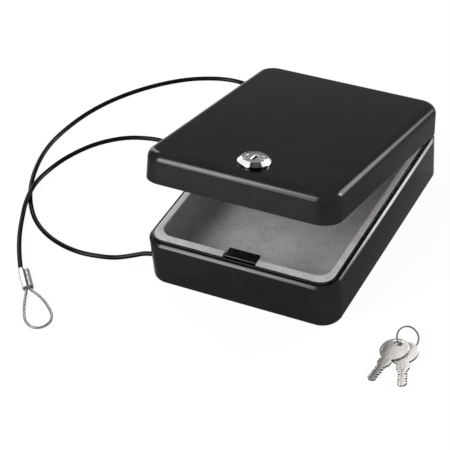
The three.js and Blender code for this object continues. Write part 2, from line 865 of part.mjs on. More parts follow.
function key() {
  const meet = Math.asin(keyNeckWidth / 2 / bowRadius);
  const shape = new THREE.Shape();
  shape.absarc(0, 0, bowRadius, -Math.PI / 2 + meet, Math.PI * 1.5 - meet, false);
  keySide(-1).forEach(([x, y]) => shape.lineTo(x, y));
  keySide(1).reverse().forEach(([x, y]) => shape.lineTo(x, y));
  const slotEnd = (keySlotLength - keySlotWidth) / 2;
  const slot = new THREE.Path();
  slot.absarc(slotEnd, keySlotOffset, keySlotWidth / 2, -Math.PI / 2, Math.PI / 2, false);
  slot.absarc(-slotEnd, keySlotOffset, keySlotWidth / 2, Math.PI / 2, Math.PI * 1.5, false);
  shape.holes.push(slot);
  const half = keyThickness / 2;
  const groove = bladeGrooveWidth / 2;
  const grooveStart = -keyCollarEnd - keyCollarChamfer;
  const floor = half - bladeGrooveDepth;
  const upper = block(-groove, groove, -bladeEnd - overrun, grooveStart, floor, half + overrun);
  const lower = block(-groove, groove, -bladeEnd - overrun, grooveStart, -half - overrun, -floor);
  return plate(shape, -half, half).subtract(upper).subtract(lower).translate([0, -keySlotOffset, 0]);
}

// A split ring: one flat wire wound into two turns, which crosses from one turn to the other over a short arc.
class SplitRingPath extends THREE.Curve {
  getPoint(t, target = new THREE.Vector3()) {
    const last = 360 + ringCrossStartDegrees - ringWireStartDegrees;
    const degrees = THREE.MathUtils.lerp(ringWireStartDegrees, last, t);
    const crossEnd = ringCrossStartDegrees + ringCrossDegrees;
    const crossed = THREE.MathUtils.smoothstep(degrees, ringCrossStartDegrees, crossEnd);
    const angle = THREE.MathUtils.degToRad(degrees);
    const height = (crossed - 0.5) * ringTurnPitch;
    return target.set(ringRadius * Math.cos(angle), ringRadius * Math.sin(angle), height);
  }
}

function splitRing() {
  const radial = ringWireRadial / 2;
  const axial = ringWireAxial / 2;
  const section = outline([[-axial, -radial], [axial, -radial], [axial, radial], [-axial, radial]]);
  const steps = ringStepsPerTurn * 2;
  return solidOf(new THREE.ExtrudeGeometry(section, { steps, extrudePath: new SplitRingPath() }));
}

// Assembly

const safe = new THREE.Group();

function place(parent, name, solid, material) {
  const mesh = new THREE.Mesh(geometryOf(solid), material);
  mesh.name = name;
  parent.add(mesh);
  return mesh;
}

place(safe, "base_shell", baseShell(), blackPaint);
place(safe, "base_liner", baseLiner(), greyFoam);
place(safe, "catch_bracket", catchBracket(), blackCatch);
place(safe, "hinge_base_leaf", hingeLeaf(0).translate([0, 0, hingeZ]), zincSteel);
place(safe, "hinge_pin", hingePin(), zincSteel);
rivetPlaces(hingeZ - rivetHeight).forEach(([x, z], i) => {
  place(safe, "hinge_rivet_base_" + (i + 1), rivet(x, z, 0), blackPaint);
});
place(safe, "cable_bush", cableBush(), blackPlastic);
place(safe, "cable_stop", cableStop(), aluminium);
place(safe, "cable", cable(), blackVinyl);
place(safe, "crimp_sleeve", crimpSleeve(), aluminium);
place(safe, "wire_loop", wireLoop(), zincSteel);

// Keys on their ring: each lies along its own heading, and both lean the way the ring props them.
function lean(mesh, face, heading, at) {
  const upright = new THREE.Quaternion().setFromUnitVectors(
    new THREE.Vector3(0, 0, 1),
    new THREE.Vector3(...face).normalize(),
  );
  const turn = new THREE.Quaternion().setFromAxisAngle(
    new THREE.Vector3(0, 0, 1),
    THREE.MathUtils.degToRad(heading + 90),
  );
  mesh.quaternion.copy(upright).multiply(turn);
  mesh.position.set(...at);
}

lean(place(safe, "key_1", key(), nickel), keyFaceDirection, upperKeyHeading, upperKeySlot);
lean(place(safe, "key_2", key(), nickel), keyFaceDirection, lowerKeyHeading, lowerKeySlot);
lean(place(safe, "key_ring", splitRing(), nickel), ringFaceDirection, 0, ringCentre);

// The lid's pieces are placed as when it is shut, in a group that turns about the hinge line.
const lidTurn = new THREE.Group();
lidTurn.position.set(0, hingeY, hingeZ);
lidTurn.rotation.x = -THREE.MathUtils.degToRad(lidOpenDegrees);
const lid = new THREE.Group();
lid.position.set(0, -hingeY, -hingeZ);
lidTurn.add(lid);
safe.add(lidTurn);

place(lid, "lid_shell", lidShell(), blackPaint);
place(lid, "lid_liner", lidPad(), greyFoam);
place(lid, "hinge_lid_leaf", hingeLeaf(1).mirror([0, 0, 1]).translate([0, 0, hingeZ]), zincSteel);
rivetPlaces(hingeZ + rivetHeight).forEach(([x, z], i) => {
  const wallInset = lidDraftShare * (rivetHeight - rivetHeadRadius);
  place(lid, "hinge_rivet_lid_" + (i + 1), rivet(x, z, wallInset), blackPaint);
});
place(lid, "lock_bezel", lockBezel(), chrome);
place(lid, "lock_body", lockBody(), chrome);
place(lid, "lock_plug", lockPlug(), nickel);
place(lid, "lock_washer", lockWasher(), zincSteel);
place(lid, "lock_nut", lockNut(), zincSteel);
place(lid, "lock_cam", lockCam(), zincSteel);
place(lid, "cam_washer", camWasher(), zincSteel);
place(lid, "cam_screw", camScrew(), zincSteel);

export default safe;
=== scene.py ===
"""Looks for the car safe: painted shells, foam linings, lock, hinge, tether cable and keys.

Lengths are in millimetres, and mm turns them into Blender's metres. Only what belongs to the floor,
the lamps and the camera's clipping is in metres.
"""

import math

import bpy
from mathutils import Matrix, Vector, kdtree


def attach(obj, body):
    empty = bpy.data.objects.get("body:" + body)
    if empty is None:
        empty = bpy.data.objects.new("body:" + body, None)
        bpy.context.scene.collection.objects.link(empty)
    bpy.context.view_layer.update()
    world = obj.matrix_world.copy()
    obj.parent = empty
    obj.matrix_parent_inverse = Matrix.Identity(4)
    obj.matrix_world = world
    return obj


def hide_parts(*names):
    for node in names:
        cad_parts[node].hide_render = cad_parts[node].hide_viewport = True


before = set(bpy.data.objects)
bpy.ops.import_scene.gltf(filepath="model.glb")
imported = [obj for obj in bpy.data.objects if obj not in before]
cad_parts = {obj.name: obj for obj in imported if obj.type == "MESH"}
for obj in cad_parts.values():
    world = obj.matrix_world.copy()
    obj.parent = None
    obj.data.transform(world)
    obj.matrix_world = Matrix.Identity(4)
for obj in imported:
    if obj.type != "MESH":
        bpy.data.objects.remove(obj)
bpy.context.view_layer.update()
mm = 0.001

# Sizes of the box, the same as in the part's own source.
box_width, box_depth = 168, 226.7
base_height, lid_height = 41.9, 26
corner_radius, sheet = 17.1, 1.2
foot_round, lid_round, shoulder_inset = 4.2, 7.8, 2.2
shoulder_start, shoulder_end = math.radians(18), math.radians(58)
base_draft, lid_draft = 0.011, 0.032
lip_inset, lip_rise = 3, 2.3
parting_gap, seat_gap = 0.3, 0.3
lid_open = math.radians(14.5)
front_face, rear_face = -box_depth / 2, box_depth / 2
lid_top, lip_top = base_height + lid_height, base_height + lip_rise

liner_inset = sheet + seat_gap
liner_top_inset = lip_inset + sheet + seat_gap
liner_side_wall, liner_end_wall, liner_floor = 5.9, 7.7, 6.5
liner_floor_top = liner_inset + liner_floor
liner_fillet, liner_corner, liner_edge = 4, 11, 1.4
pad_margin, pad_thickness, pad_hole = 1.2, 5, 15.5
pad_inset = lid_round + pad_margin + lid_draft * lid_height
pad_top = lid_top - sheet - seat_gap
pad_bottom = pad_top - pad_thickness

lock_x, lock_from_front, barrel_radius = 2.9, 27.3, 8
lock_y = front_face + lock_from_front
catch_x, catch_width, catch_set_back = 1.2, 27.5, 6.7
catch_reach, catch_sheet = 10.2, 1.5
catch_depth, catch_neck, catch_bend, catch_inner_bend = 22, 7, 1.6, 0.6
catch_edge, catch_pocket_margin = 0.25, 1

hinge_length, knuckle_radius, leaf_sheet, leaf_height = 96, 2.4, 1, 14
pin_head = 0.8
leaf_inner = rear_face - sheet - seat_gap - lid_draft * leaf_height - leaf_sheet
hinge_y = leaf_inner + knuckle_radius
hinge_z = base_height + parting_gap / 2
rivet_rise = (leaf_height + knuckle_radius + seat_gap) / 2
rivet_pitch, rivet_radius = 36, 1.5
rivet_columns = (-rivet_pitch, 0, rivet_pitch)
rivet_head_radius, rivet_tail_radius, rivet_tail_height = 3, 2.5, 0.9

cable_from_front, cable_exit_z, cable_radius = 22, 8.7, 2
cable_y = front_face + cable_from_front
cable_wall_x = -box_width / 2 + base_draft * (base_height - cable_exit_z)
bush_flange_radius, bush_flange, bush_barrel = 5, 1.3, 3.4
bush_outer = cable_wall_x - seat_gap - bush_flange

# How far a cutter runs past what it cuts, how thick a slab is before its ends are drawn on, a hair's
# breadth that keeps points or faces apart, a length that counts as none, and the steps of a corner.
overrun, slab_thickness, hair, next_to_nothing, corner_steps = 2, 0.5, 0.01, 1e-6, 16

# The lid's pieces are made where they lie when it is shut, and then turned open about the hinge.
hinge_line = Matrix.Translation(Vector((0, hinge_y, hinge_z)) * mm)
lid_turn = hinge_line @ Matrix.Rotation(-lid_open, 4, "X") @ hinge_line.inverted()


def put_in_scene(thing):
    bpy.context.scene.collection.objects.link(thing)
    return thing


# The camera stands where the photograph's did, and sees as wide as it did.

camera_eye = Vector((514.31, -1003.55, 919.76)) * mm
camera_ahead = Vector((-0.39111, 0.67030, -0.63066)).normalized()
camera_roll = math.radians(-5.469)
sensor_width, focal_pixels, picture_pixels = 36, 1720.2, 450


def add_camera():
    level = camera_ahead.cross(Vector((0, 0, 1))).normalized()
    rise = level.cross(camera_ahead)
    right = level * math.cos(camera_roll) + rise * math.sin(camera_roll)
    up = right.cross(camera_ahead)
    data = bpy.data.cameras.new("camera")
    data.sensor_width = sensor_width
    data.lens = sensor_width * focal_pixels / picture_pixels
    data.clip_start, data.clip_end = 0.05, 20
    camera = put_in_scene(bpy.data.objects.new("camera", data))
    turn = Matrix((right, up, -camera_ahead)).transposed().to_4x4()
    camera.matrix_world = Matrix.Translation(camera_eye) @ turn
    bpy.context.scene.camera = camera


add_camera()

# Routes of the cable and of the wire loop, as listed points.

cable_route = [
    (-90, -91.3, 8.7), (-97, -92.8, 8), (-105, -95.6, 6), (-113, -98.2, 3.9),
    (-121, -100.6, 2.4), (-131, -103.2, 2.1), (-151, -105.6, 2.1), (-171, -103, 2.1),
    (-191, -95.6, 2.1), (-211, -82, 2.1), (-231, -58, 2.1), (-246, -28, 2.1),
    (-255, 8, 2.1), (-254.5, 40, 2.1), (-245.5, 78, 2.1), (-228.5, 110.7, 2.1),
    (-204, 139, 2.1), (-178.5, 157, 2.1), (-148, 166.5, 2.1), (-120, 163, 2.1),
    (-101, 149, 2.1), (-92, 128, 2.1), (-93, 104, 2.1), (-104, 82, 2.1),
    (-122, 66, 2.1), (-146, 58.5, 2.1), (-172, 57.5, 2.1), (-196, 49.5, 2.1),
    (-217, 31, 2.1), (-231, 5, 2.1), (-236.3, -20, 2.8), (-235.4, -40, 5),
    (-232, -55, 6.6), (-228, -69, 6), (-222, -85, 3.6), (-212.5, -105, 2.2),
    (-200, -125.5, 2.2),
]

wire_route = [
    (-164, -174, 2.2), (-157.5, -186, 1.5), (-150, -195.5, 1.4), (-141, -199.6, 1.4),
    (-134, -196.5, 1.4), (-131.3, -189.5, 1.4), (-134.5, -181, 1.4), (-143, -173.2, 1.5),
    (-154, -166.6, 2.2),
]

sleeve_start = Vector((-184.6, -143.2, 3))
sleeve_heading = math.radians(-49)
sleeve_ahead = Vector((math.cos(sleeve_heading), math.sin(sleeve_heading), 0))
sleeve_side = Vector((math.sin(sleeve_heading), -math.cos(sleeve_heading), 0))
sleeve_length, sleeve_width, sleeve_thickness = 25, 9.4, 5.4
barrel_offset = (sleeve_width - sleeve_thickness) / 2
wire_radius = 1.2


def sleeve_point(along, aside):
    """A point of the crimp sleeve, along it and to the side of its middle line."""
    return sleeve_start + sleeve_ahead * along + sleeve_side * aside


def smooth_route(points, steps):
    """Points on a centripetal curve through the given ones, as in the part's source."""
    points = [Vector(p) for p in points]
    first = points[0] * 2 - points[1]
    last = points[-1] * 2 - points[-2]
    padded = [first, *points, last]
    line = []
    for i in range(1, len(padded) - 2):
        before, start, end, after = padded[i - 1 : i + 3]
        t0 = math.sqrt((start - before).length)
        t1 = math.sqrt((end - start).length)
        t2 = math.sqrt((after - end).length)
        m1 = ((start - before) / t0 - (end - before) / (t0 + t1) + (end - start) / t1) * t1
        m2 = ((end - start) / t1 - (after - start) / (t1 + t2) + (after - end) / t2) * t1
        for step in range(steps):
            t = step / steps
            line.append(
                start * (2 * t**3 - 3 * t**2 + 1)
                + m1 * (t**3 - 2 * t**2 + t)
                + end * (3 * t**2 - 2 * t**3)
                + m2 * (t**3 - t**2)
            )
    return [*line, points[-1]]


# Materials. Each is a Principled shader with patterns on Object coordinates.


class Finish:
    """One material being built: its nodes, its links and its shader."""

    def __init__(self, name, colour, roughness, metallic=0.0, **sockets):
        self.material = bpy.data.materials.new(name)
        self.material.use_nodes = True
        self.nodes = self.material.node_tree.nodes
        self.links = self.material.node_tree.links
        self.shader = self.nodes["Principled BSDF"]
        self.set("Base Color", (*colour, 1))
        self.set("Roughness", roughness)
        self.set("Metallic", metallic)
        for socket, value in sockets.items():
            self.set(socket.replace("_", " "), value)
        self.material.diffuse_color = (*colour, 1)
        self.place = self.add("TexCoord").outputs["Object"]
        self.bump_out = None

    def set(self, socket, value):
        self.shader.inputs[socket].default_value = value

    def link(self, out, socket):
        self.links.new(out, self.shader.inputs[socket])

    def add(self, kind, source=None, socket="Vector", **values):
        """A new node with these values and, where there is a source, with one socket linked."""
        node = self.nodes.new("ShaderNode" + kind)
        for name, value in values.items():
            node.inputs[name].default_value = value
        if source:
            self.links.new(source, node.inputs[socket])
        return node

    def stretched(self, scale, turn):
        """The object's coordinates stretched and turned, for a pattern with a direction."""
        mapping = self.add("Mapping", self.place, Scale=scale, Rotation=turn)
        return mapping.outputs["Vector"]

    def noise(self, scale, detail, place=None):
        """Cloudy noise, with so many waves to a metre."""
        node = self.add("TexNoise", place or self.place, Scale=scale, Detail=detail, Roughness=0.55)
        return node.outputs["Fac"]

    def cells(self, scale):
        return self.add("TexVoronoi", self.place, Scale=scale).outputs["Distance"]

    def ramp(self, factor, low, high, start=0.3, end=0.7):
        """A value or colour that goes from low to high as the factor goes from start to end."""
        node = self.add("ValToRGB", factor, "Fac")
        as_colour = [c if isinstance(c, tuple) else (c, c, c) for c in (low, high)]
        for element, colour, place in zip(node.color_ramp.elements, as_colour, (start, end)):
            element.color = (*colour, 1)
            element.position = place
        return node.outputs["Color"]

    def bands(self, factor, stops):
        """Greys that follow one another along the factor, each as (place, level)."""
        node = self.add("ValToRGB", factor, "Fac")
        elements = node.color_ramp.elements
        for end, (place, level) in ((0, stops[0]), (1, stops[-1])):
            elements[end].position = place
            elements[end].color = (*grey(level), 1)
        for place, level in stops[1:-1]:
            elements.new(place).color = (*grey(level), 1)
        return node.outputs["Color"]

    def fade(self, heading, middle, span):
        """How far a point lies along a level heading: 0.5 at the middle, 0 to 1 over the span."""
        scale = 1 / (span * mm)
        ahead = Vector((math.cos(heading), math.sin(heading), 0))
        start = (0.5 - ahead.dot(middle) * mm * scale, 0, 0)
        along = {"Scale": (scale, scale, scale), "Rotation": (0, 0, -heading), "Location": start}
        mapping = self.add("Mapping", self.place, **along)
        return self.add("TexGradient", mapping.outputs["Vector"]).outputs["Fac"]

    def times(self, colour, other, factor=1.0):
        """One colour multiplied by another."""
        mix = self.add("Mix")
        mix.data_type = "RGBA"
        mix.blend_type = "MULTIPLY"
        mix.inputs["Factor"].default_value = factor
        self.links.new(colour, mix.inputs["A"])
        self.links.new(other, mix.inputs["B"])
        return mix.outputs["Result"]

    def bump(self, height, depth_mm, strength):
        """Relief from a pattern, on top of the relief that the finish has already."""
        node = self.add("Bump", height, "Height", Distance=depth_mm * mm, Strength=strength)
        if self.bump_out:
            self.links.new(self.bump_out, node.inputs["Normal"])
        self.bump_out = node.outputs["Normal"]
        self.link(self.bump_out, "Normal")


def grey(level):
    """A grey or colour written as on a screen, from 0 to 255, as the shader takes it."""
    levels = level if isinstance(level, tuple) else (level, level, level)
    return tuple(((v / 255 + 0.055) / 1.055) ** 2.4 if v > 10 else v / 255 / 12.92 for v in levels)


def powder_coat():
    """Satin black powder coat: fine orange peel, even gloss, slight changes of tone."""
    made = Finish("powder_coat", grey(39), 0.18, 1.0, Specular_Tint=(0.55, 0.55, 0.55, 1))
    made.link(made.ramp(made.noise(60, 4), grey(37), grey(41)), "Base Color")
    made.link(made.ramp(made.noise(140, 3), 0.16, 0.2), "Roughness")
    made.bump(made.noise(1300, 2), 0.02, 0.3)
    made.bump(made.noise(420, 2), 0.03, 0.3)
    return made.material


def catch_coat():
    """Smooth deep black coat of the pressed bracket."""
    made = Finish("catch_coat", grey(6), 0.26, Specular_IOR_Level=0.2)
    made.link(made.ramp(made.noise(300, 3), grey(5), grey(9)), "Base Color")
    made.link(made.ramp(made.noise(220, 3), 0.22, 0.3), "Roughness")
    made.bump(made.noise(700, 2), 0.015, 0.3)
    return made.material


def foam():
    """Warm light grey closed-cell foam: small pores, and soft cloudy changes of tone."""
    made = Finish("foam", grey((176, 174, 175)), 0.95, Specular_IOR_Level=0.12)
    clouds = made.ramp(made.noise(90, 5), grey((171, 168, 170)), grey((184, 182, 183)), 0.35, 0.65)
    grain = made.ramp(made.noise(520, 3), (0.84, 0.83, 0.835), (1.0, 1.0, 1.0), 0.36, 0.6)
    pores = made.ramp(made.cells(1500), grey((136, 132, 134)), (1.0, 1.0, 1.0), 0.04, 0.3)
    made.link(made.times(made.times(clouds, grain), pores, 0.45), "Base Color")
    made.bump(made.cells(1500), 0.12, 0.35)
    made.bump(made.noise(300, 4), 0.15, 0.3)
    return made.material


def on_lock_axis(made):
    """The object's coordinates as the lid's own: Z runs along the lock's axis, from its foot."""
    foot = Vector((lock_x, lock_y, lid_top)) * mm
    back = lid_turn.inverted().to_translation() - foot
    mapping = made.add("Mapping", made.place, Rotation=(lid_open, 0, 0), Location=back)
    return mapping.outputs["Vector"]


# Painted reflections: greys round the chrome cone by the share of the turn, from its left side on
# past its front.
cone_painted_reflections = ((0.0, 236), (0.05, 240), (0.068, 236), (0.082, 40), (0.12, 236), (0.265, 243))
cone_painted_reflections += ((0.285, 24), (0.305, 70), (0.37, 74), (0.388, 26), (0.405, 243), (0.53, 240))
cone_painted_reflections += ((0.56, 120), (0.6, 232), (0.74, 238), (0.78, 90), (0.82, 226), (1.0, 236))


def chrome():
    """Bright chrome plate, with a painted reflection of soft dark bands round the cone, and a faint
    polishing haze.
    """
    made = Finish("bright_chrome", grey(240), 0.09, 1.0)
    # The cone's dark and bright bands are painted reflections, fixed round the lock's axis.
    around = made.add("TexGradient", on_lock_axis(made))
    around.gradient_type = "RADIAL"
    made.link(made.bands(around.outputs["Fac"], cone_painted_reflections), "Base Color")
    made.link(made.ramp(made.noise(260, 4), 0.08, 0.16), "Roughness")
    made.bump(made.noise(500, 2), 0.006, 0.25)
    return made.material


def turned_chrome():
    """Chrome over a face turned on a lathe: grey, with fine rings round the lock's own axis."""
    made = Finish("turned_chrome", grey(128), 0.25, 1.0)
    rings = made.add("TexWave", on_lock_axis(made), Scale=165, Distortion=0.6)
    rings.wave_type, rings.rings_direction = "RINGS", "Z"
    made.link(made.ramp(rings.outputs["Fac"], grey(92), grey(146), 0.2, 0.8), "Base Color")
    made.link(made.ramp(made.noise(300, 4), 0.2, 0.34), "Roughness")
    made.bump(rings.outputs["Fac"], 0.02, 0.35)
    return made.material


# Painted reflection: greys that a key's face goes through, from its darker side to its brighter one.
key_painted_reflection_bands = ((0.0, 214), (0.07, 190), (0.13, 156), (0.22, 160), (0.36, 204), (0.5, 238))
key_painted_reflection_bands += ((1.0, 255),)
bright_nickel = (250, 246, 242)


def nickel(name, tone=bright_nickel, turn=0.0, metallic=0.62, roughness=0.42, painted_reflection=None):
    """Nickel plate with fine tumbling scratches and a slightly warm tone; where given, a painted
    reflection darkens one side of it.
    """
    made = Finish(name, grey(tone), roughness, metallic)
    scratched = made.stretched((40, 900, 200), (0, 0, turn))
    darker = tuple(max(v - 18, 8) for v in tone)
    colour = made.ramp(made.noise(120, 5), grey(darker), grey(tone), 0.3, 0.6)
    # A painted reflection: the colour darkens and brightens across the face along a heading.
    if painted_reflection:
        colour = made.times(colour, made.bands(made.fade(*painted_reflection), key_painted_reflection_bands))
    made.link(colour, "Base Color")
    wear = made.noise(6, 4, place=scratched)
    made.link(made.ramp(wear, roughness - 0.07, roughness + 0.08), "Roughness")
    made.bump(made.noise(5, 3, place=scratched), 0.01, 0.35)
    made.bump(made.noise(240, 3), 0.03, 0.25)
    return made.material


def zinc(name="zinc", tone=(176, 178, 181)):
    """Clear zinc plate: cloudy grey metal with a soft, uneven shine."""
    made = Finish(name, grey(tone), 0.4, 1.0)
    darker = tuple(v - 34 for v in tone)
    made.link(made.ramp(made.noise(150, 5), grey(darker), grey(tone)), "Base Color")
    made.link(made.ramp(made.noise(300, 4), 0.32, 0.5), "Roughness")
    made.bump(made.noise(800, 3), 0.015, 0.4)
    return made.material


def strand_steel():
    """Bare rope wire: bright on the crowns of its strands, with painted shade in the grooves between
    them.
    """
    made = Finish("strand_steel", grey((150, 149, 147)), 0.36, 1.0)
    groove = made.add("Attribute")
    groove.attribute_name = "groove"
    # Painted shade: the colour goes nearly black with the depth between strands.
    groove_shade = made.ramp(groove.outputs["Fac"], grey((154, 154, 156)), grey((14, 14, 15)), 0.1, 0.5)
    made.link(groove_shade, "Base Color")
    made.link(made.ramp(made.noise(500, 3), 0.28, 0.45), "Roughness")
    made.bump(made.noise(900, 2), 0.02, 0.4)
    return made.material


# Painted reflection and shade: greys across the pressed sleeve from the wire's side to the cable's,
# darkest in the crease.
sleeve_painted_light = ((0.0, 104), (0.1, 150), (0.22, 112), (0.4, 120), (0.47, 60), (0.54, 96))
sleeve_painted_light += ((0.6, 206), (0.68, 240), (0.8, 252), (0.93, 226), (0.97, 150), (1.0, 110))


def soft_aluminium():
    """Swaged aluminium: pale satin metal with drawn marks along it, and painted reflection and shade
    across it.
    """
    made = Finish("soft_aluminium", grey((214, 215, 217)), 0.34, 1.0)
    drawn = made.stretched((25, 600, 600), (0, 0, -sleeve_heading))
    made.link(made.ramp(made.noise(5, 4, place=drawn), 0.26, 0.46), "Roughness")
    cloudy = made.ramp(made.noise(90, 4), grey((226, 227, 229)), grey((246, 247, 248)))
    # Painted reflection and shade: one barrel lighter, the other darker, and the crease darkest.
    across = made.fade(sleeve_heading - math.pi / 2, sleeve_start, sleeve_width)
    made.link(made.times(cloudy, made.bands(across, sleeve_painted_light)), "Base Color")
    made.bump(made.noise(5, 3, place=drawn), 0.02, 0.35)
    made.bump(made.noise(160, 3), 0.08, 0.3)
    return made.material


def vinyl():
    """Black vinyl sleeve: glossy, with slight drawn lines and a faint dusty bloom."""
    made = Finish("vinyl", grey(23), 0.2, 1.0, Specular_Tint=(0.5, 0.5, 0.5, 1))
    made.link(made.ramp(made.noise(55, 4), grey(20), grey(26)), "Base Color")
    made.link(made.ramp(made.noise(180, 3), 0.17, 0.24), "Roughness")
    made.bump(made.noise(240, 3), 0.04, 0.25)
    return made.material


def nylon():
    """Moulded black nylon with a fine spark-eroded grain."""
    made = Finish("nylon", grey(24), 0.5, Specular_IOR_Level=0.4)
    made.link(made.ramp(made.noise(400, 3), 0.44, 0.58), "Roughness")
    made.bump(made.noise(1500, 2), 0.02, 0.4)
    return made.material


powder_coat_black = powder_coat()
catch_black = catch_coat()
foam_grey = foam()
chrome_plate = chrome()
turned_plate = turned_chrome()
plug_edge = nickel("plug_nickel", (158, 157, 156), metallic=1.0, roughness=0.4)
ring_plate = nickel("ring_nickel", (116, 115, 114), metallic=1.0, roughness=0.28)
zinc_plate = zinc()
rope_steel = strand_steel()
sleeve_aluminium = soft_aluminium()
sawn_aluminium = zinc("sawn_aluminium", (140, 141, 144))
cable_vinyl = vinyl()
bush_nylon = nylon()


# Modelling helpers: each works on the active object, which alone is selected.

merge_within = 0.002


def pick(piece):
    if bpy.context.mode != "OBJECT":
        bpy.ops.object.mode_set(mode="OBJECT")
    bpy.ops.object.select_all(action="DESELECT")
    piece.hide_set(False)
    piece.select_set(True)
    bpy.context.view_layer.objects.active = piece


def settle():
    """Puts the piece's place, turn and scale into its mesh."""
    bpy.ops.object.transform_apply(location=True, rotation=True, scale=True)


def new_piece(name, add, **settings):
    """Adds a primitive with nothing else selected, and names it."""
    bpy.ops.object.select_all(action="DESELECT")
    add(**settings)
    piece = bpy.context.active_object
    piece.name = piece.data.name = name
    return piece


def own_copy(piece, name):
    """A copy of a piece, with its own mesh."""
    copy = piece.copy()
    copy.data = piece.data.copy()
    copy.name = copy.data.name = name
    return put_in_scene(copy)


def leave_edit():
    bpy.ops.object.mode_set(mode="OBJECT")


def in_edit(piece, chosen=()):
    """Goes into edit mode, where only the chosen faces, given by their numbers, are selected."""
    pick(piece)
    bpy.ops.object.mode_set(mode="EDIT")
    bpy.ops.mesh.select_mode(type="FACE")
    bpy.ops.mesh.select_all(action="DESELECT")
    if chosen:
        leave_edit()
        for index in chosen:
            piece.data.polygons[index].select = True
        bpy.ops.object.mode_set(mode="EDIT")


def faces_where(piece, test):
    return [face.index for face in piece.data.polygons if test(face)]


def extrude(move):
    """Extrudes the selected faces and moves them, in millimetres."""
    bpy.ops.mesh.extrude_region_move(TRANSFORM_OT_translate={"value": tuple(v * mm for v in move)})


def plan_slab(name, inset, low, high, inset_y=None, radius=None):
    """A slab with the box's plan drawn in by an inset: a plane, its corners rounded, drawn up."""
    size_x = box_width - 2 * inset
    size_y = box_depth - 2 * (inset if inset_y is None else inset_y)
    place = (0, 0, low * mm)
    piece = new_piece(name, bpy.ops.mesh.primitive_plane_add, size=1, location=place)
    piece.scale = (size_x * mm, size_y * mm, 1)
    settle()
    bpy.ops.object.mode_set(mode="EDIT")
    bpy.ops.mesh.select_mode(type="VERT")
    bpy.ops.mesh.select_all(action="SELECT")
    corner = (corner_radius - inset) if radius is None else radius
    bpy.ops.mesh.bevel(offset=corner * mm, segments=corner_steps, profile=0.5, affect="VERTICES")
    bpy.ops.mesh.select_mode(type="FACE")
    bpy.ops.mesh.select_all(action="SELECT")
    extrude((0, 0, high - low))
    bpy.ops.mesh.select_all(action="SELECT")
    bpy.ops.mesh.normals_make_consistent(inside=False)
    leave_edit()
    return piece


def draw_end(piece, upper, inset, rings):
    """Draws the top or the bottom face on through rings of (inset, height), each further in."""
    faces = sorted(piece.data.polygons, key=lambda face: face.center.z)
    end = faces[-1 if upper else 0]
    height = end.center.z / mm
    in_edit(piece, [end.index])
    for next_inset, next_height in rings:
        rise = (next_height - height) * (1 if upper else -1)
        if next_inset - inset > next_to_nothing:
            bpy.ops.mesh.inset(thickness=(next_inset - inset) * mm, depth=rise * mm)
        else:
            extrude((0, 0, next_height - height))
        inset, height = next_inset, next_height
    leave_edit()
    return piece


def face_outwards(piece):
    in_edit(piece)
    bpy.ops.mesh.select_all(action="SELECT")
    bpy.ops.mesh.remove_doubles(threshold=merge_within * mm)
    bpy.ops.mesh.normals_make_consistent(inside=False)
    leave_edit()


def turned(name, profile, sides=64, bored=False):
    """A piece turned round Z, from [radius, height] points. A bored one closes on itself."""
    radius, height = profile[0]
    disc = {"radius": radius * mm, "location": (0, 0, height * mm), "fill_type": "NGON"}
    piece = new_piece(name, bpy.ops.mesh.primitive_circle_add, vertices=sides, **disc)
    settle()
    in_edit(piece)
    bpy.ops.mesh.select_all(action="SELECT")
    for next_radius, next_height in profile[1:]:
        extrude((0, 0, next_height - height))
        share = next_radius / radius
        if share != 1:
            centre = (0, 0, next_height * mm)
            bpy.ops.transform.resize(value=(share, share, 1), center_override=centre)
        radius, height = next_radius, next_height
    leave_edit()
    if bored:
        in_edit(piece, faces_where(piece, lambda face: len(face.vertices) == sides))
        bpy.ops.mesh.delete(type="ONLY_FACE")
        bpy.ops.mesh.select_mode(type="EDGE")
        bpy.ops.mesh.select_non_manifold()
        bpy.ops.mesh.bridge_edge_loops()
        leave_edit()
    face_outwards(piece)
    return piece


def apply_modifier(piece, kind, **settings):
    pick(piece)
    modifier = piece.modifiers.new(kind.lower(), kind)
    for setting, value in settings.items():
        setattr(modifier, setting, value)
    bpy.ops.object.modifier_apply(modifier=modifier.name)


def cut(piece, *cutters, operation="DIFFERENCE"):
    """Cuts the cutters out of the piece and removes them."""
    for cutter in cutters:
        apply_modifier(piece, "BOOLEAN", operation=operation, object=cutter, solver="EXACT")
        bpy.data.objects.remove(cutter)


def fuse(piece, other):
    cut(piece, other, operation="UNION")


def block(name, x0, x1, y0, y1, z0, z1, round_by=0.0):
    """A block between two corners, with rounded edges where a radius is given."""
    piece = new_piece(name, bpy.ops.mesh.primitive_cube_add, size=1)
    piece.scale = ((x1 - x0) * mm, (y1 - y0) * mm, (z1 - z0) * mm)
    piece.location = Vector(((x0 + x1) / 2, (y0 + y1) / 2, (z0 + z1) / 2)) * mm
    settle()
    if round_by:
        limit = {"limit_method": "ANGLE", "angle_limit": math.radians(40)}
        apply_modifier(piece, "BEVEL", width=round_by * mm, segments=2, **limit)
    return piece


def drill(name, radius, low, high, sides=32):
    """A round cutter along Z."""
    return turned(name, [(radius, low), (radius, high)], sides)


def moved(piece, matrix):
    """Turns or moves a piece and applies it, so that its object stays at the origin."""
    pick(piece)
    piece.matrix_world = matrix @ piece.matrix_world
    settle()
    return piece


def shift(x, y, z):
    return Matrix.Translation(Vector((x, y, z)) * mm)


lay_along_x = Matrix.Rotation(math.pi / 2, 4, "Y")
lay_along_y = Matrix.Rotation(-math.pi / 2, 4, "X")
on_lock = shift(lock_x, lock_y, 0)
on_cable = shift(0, cable_y, cable_exit_z) @ lay_along_x


def arc(x, y, radius, start, end, steps=8):
    """Points of an arc about (x, y), with its angles in degrees."""
    angles = [math.radians(start + (end - start) * i / steps) for i in range(steps + 1)]
    return [(x + radius * math.cos(a), y + radius * math.sin(a)) for a in angles]


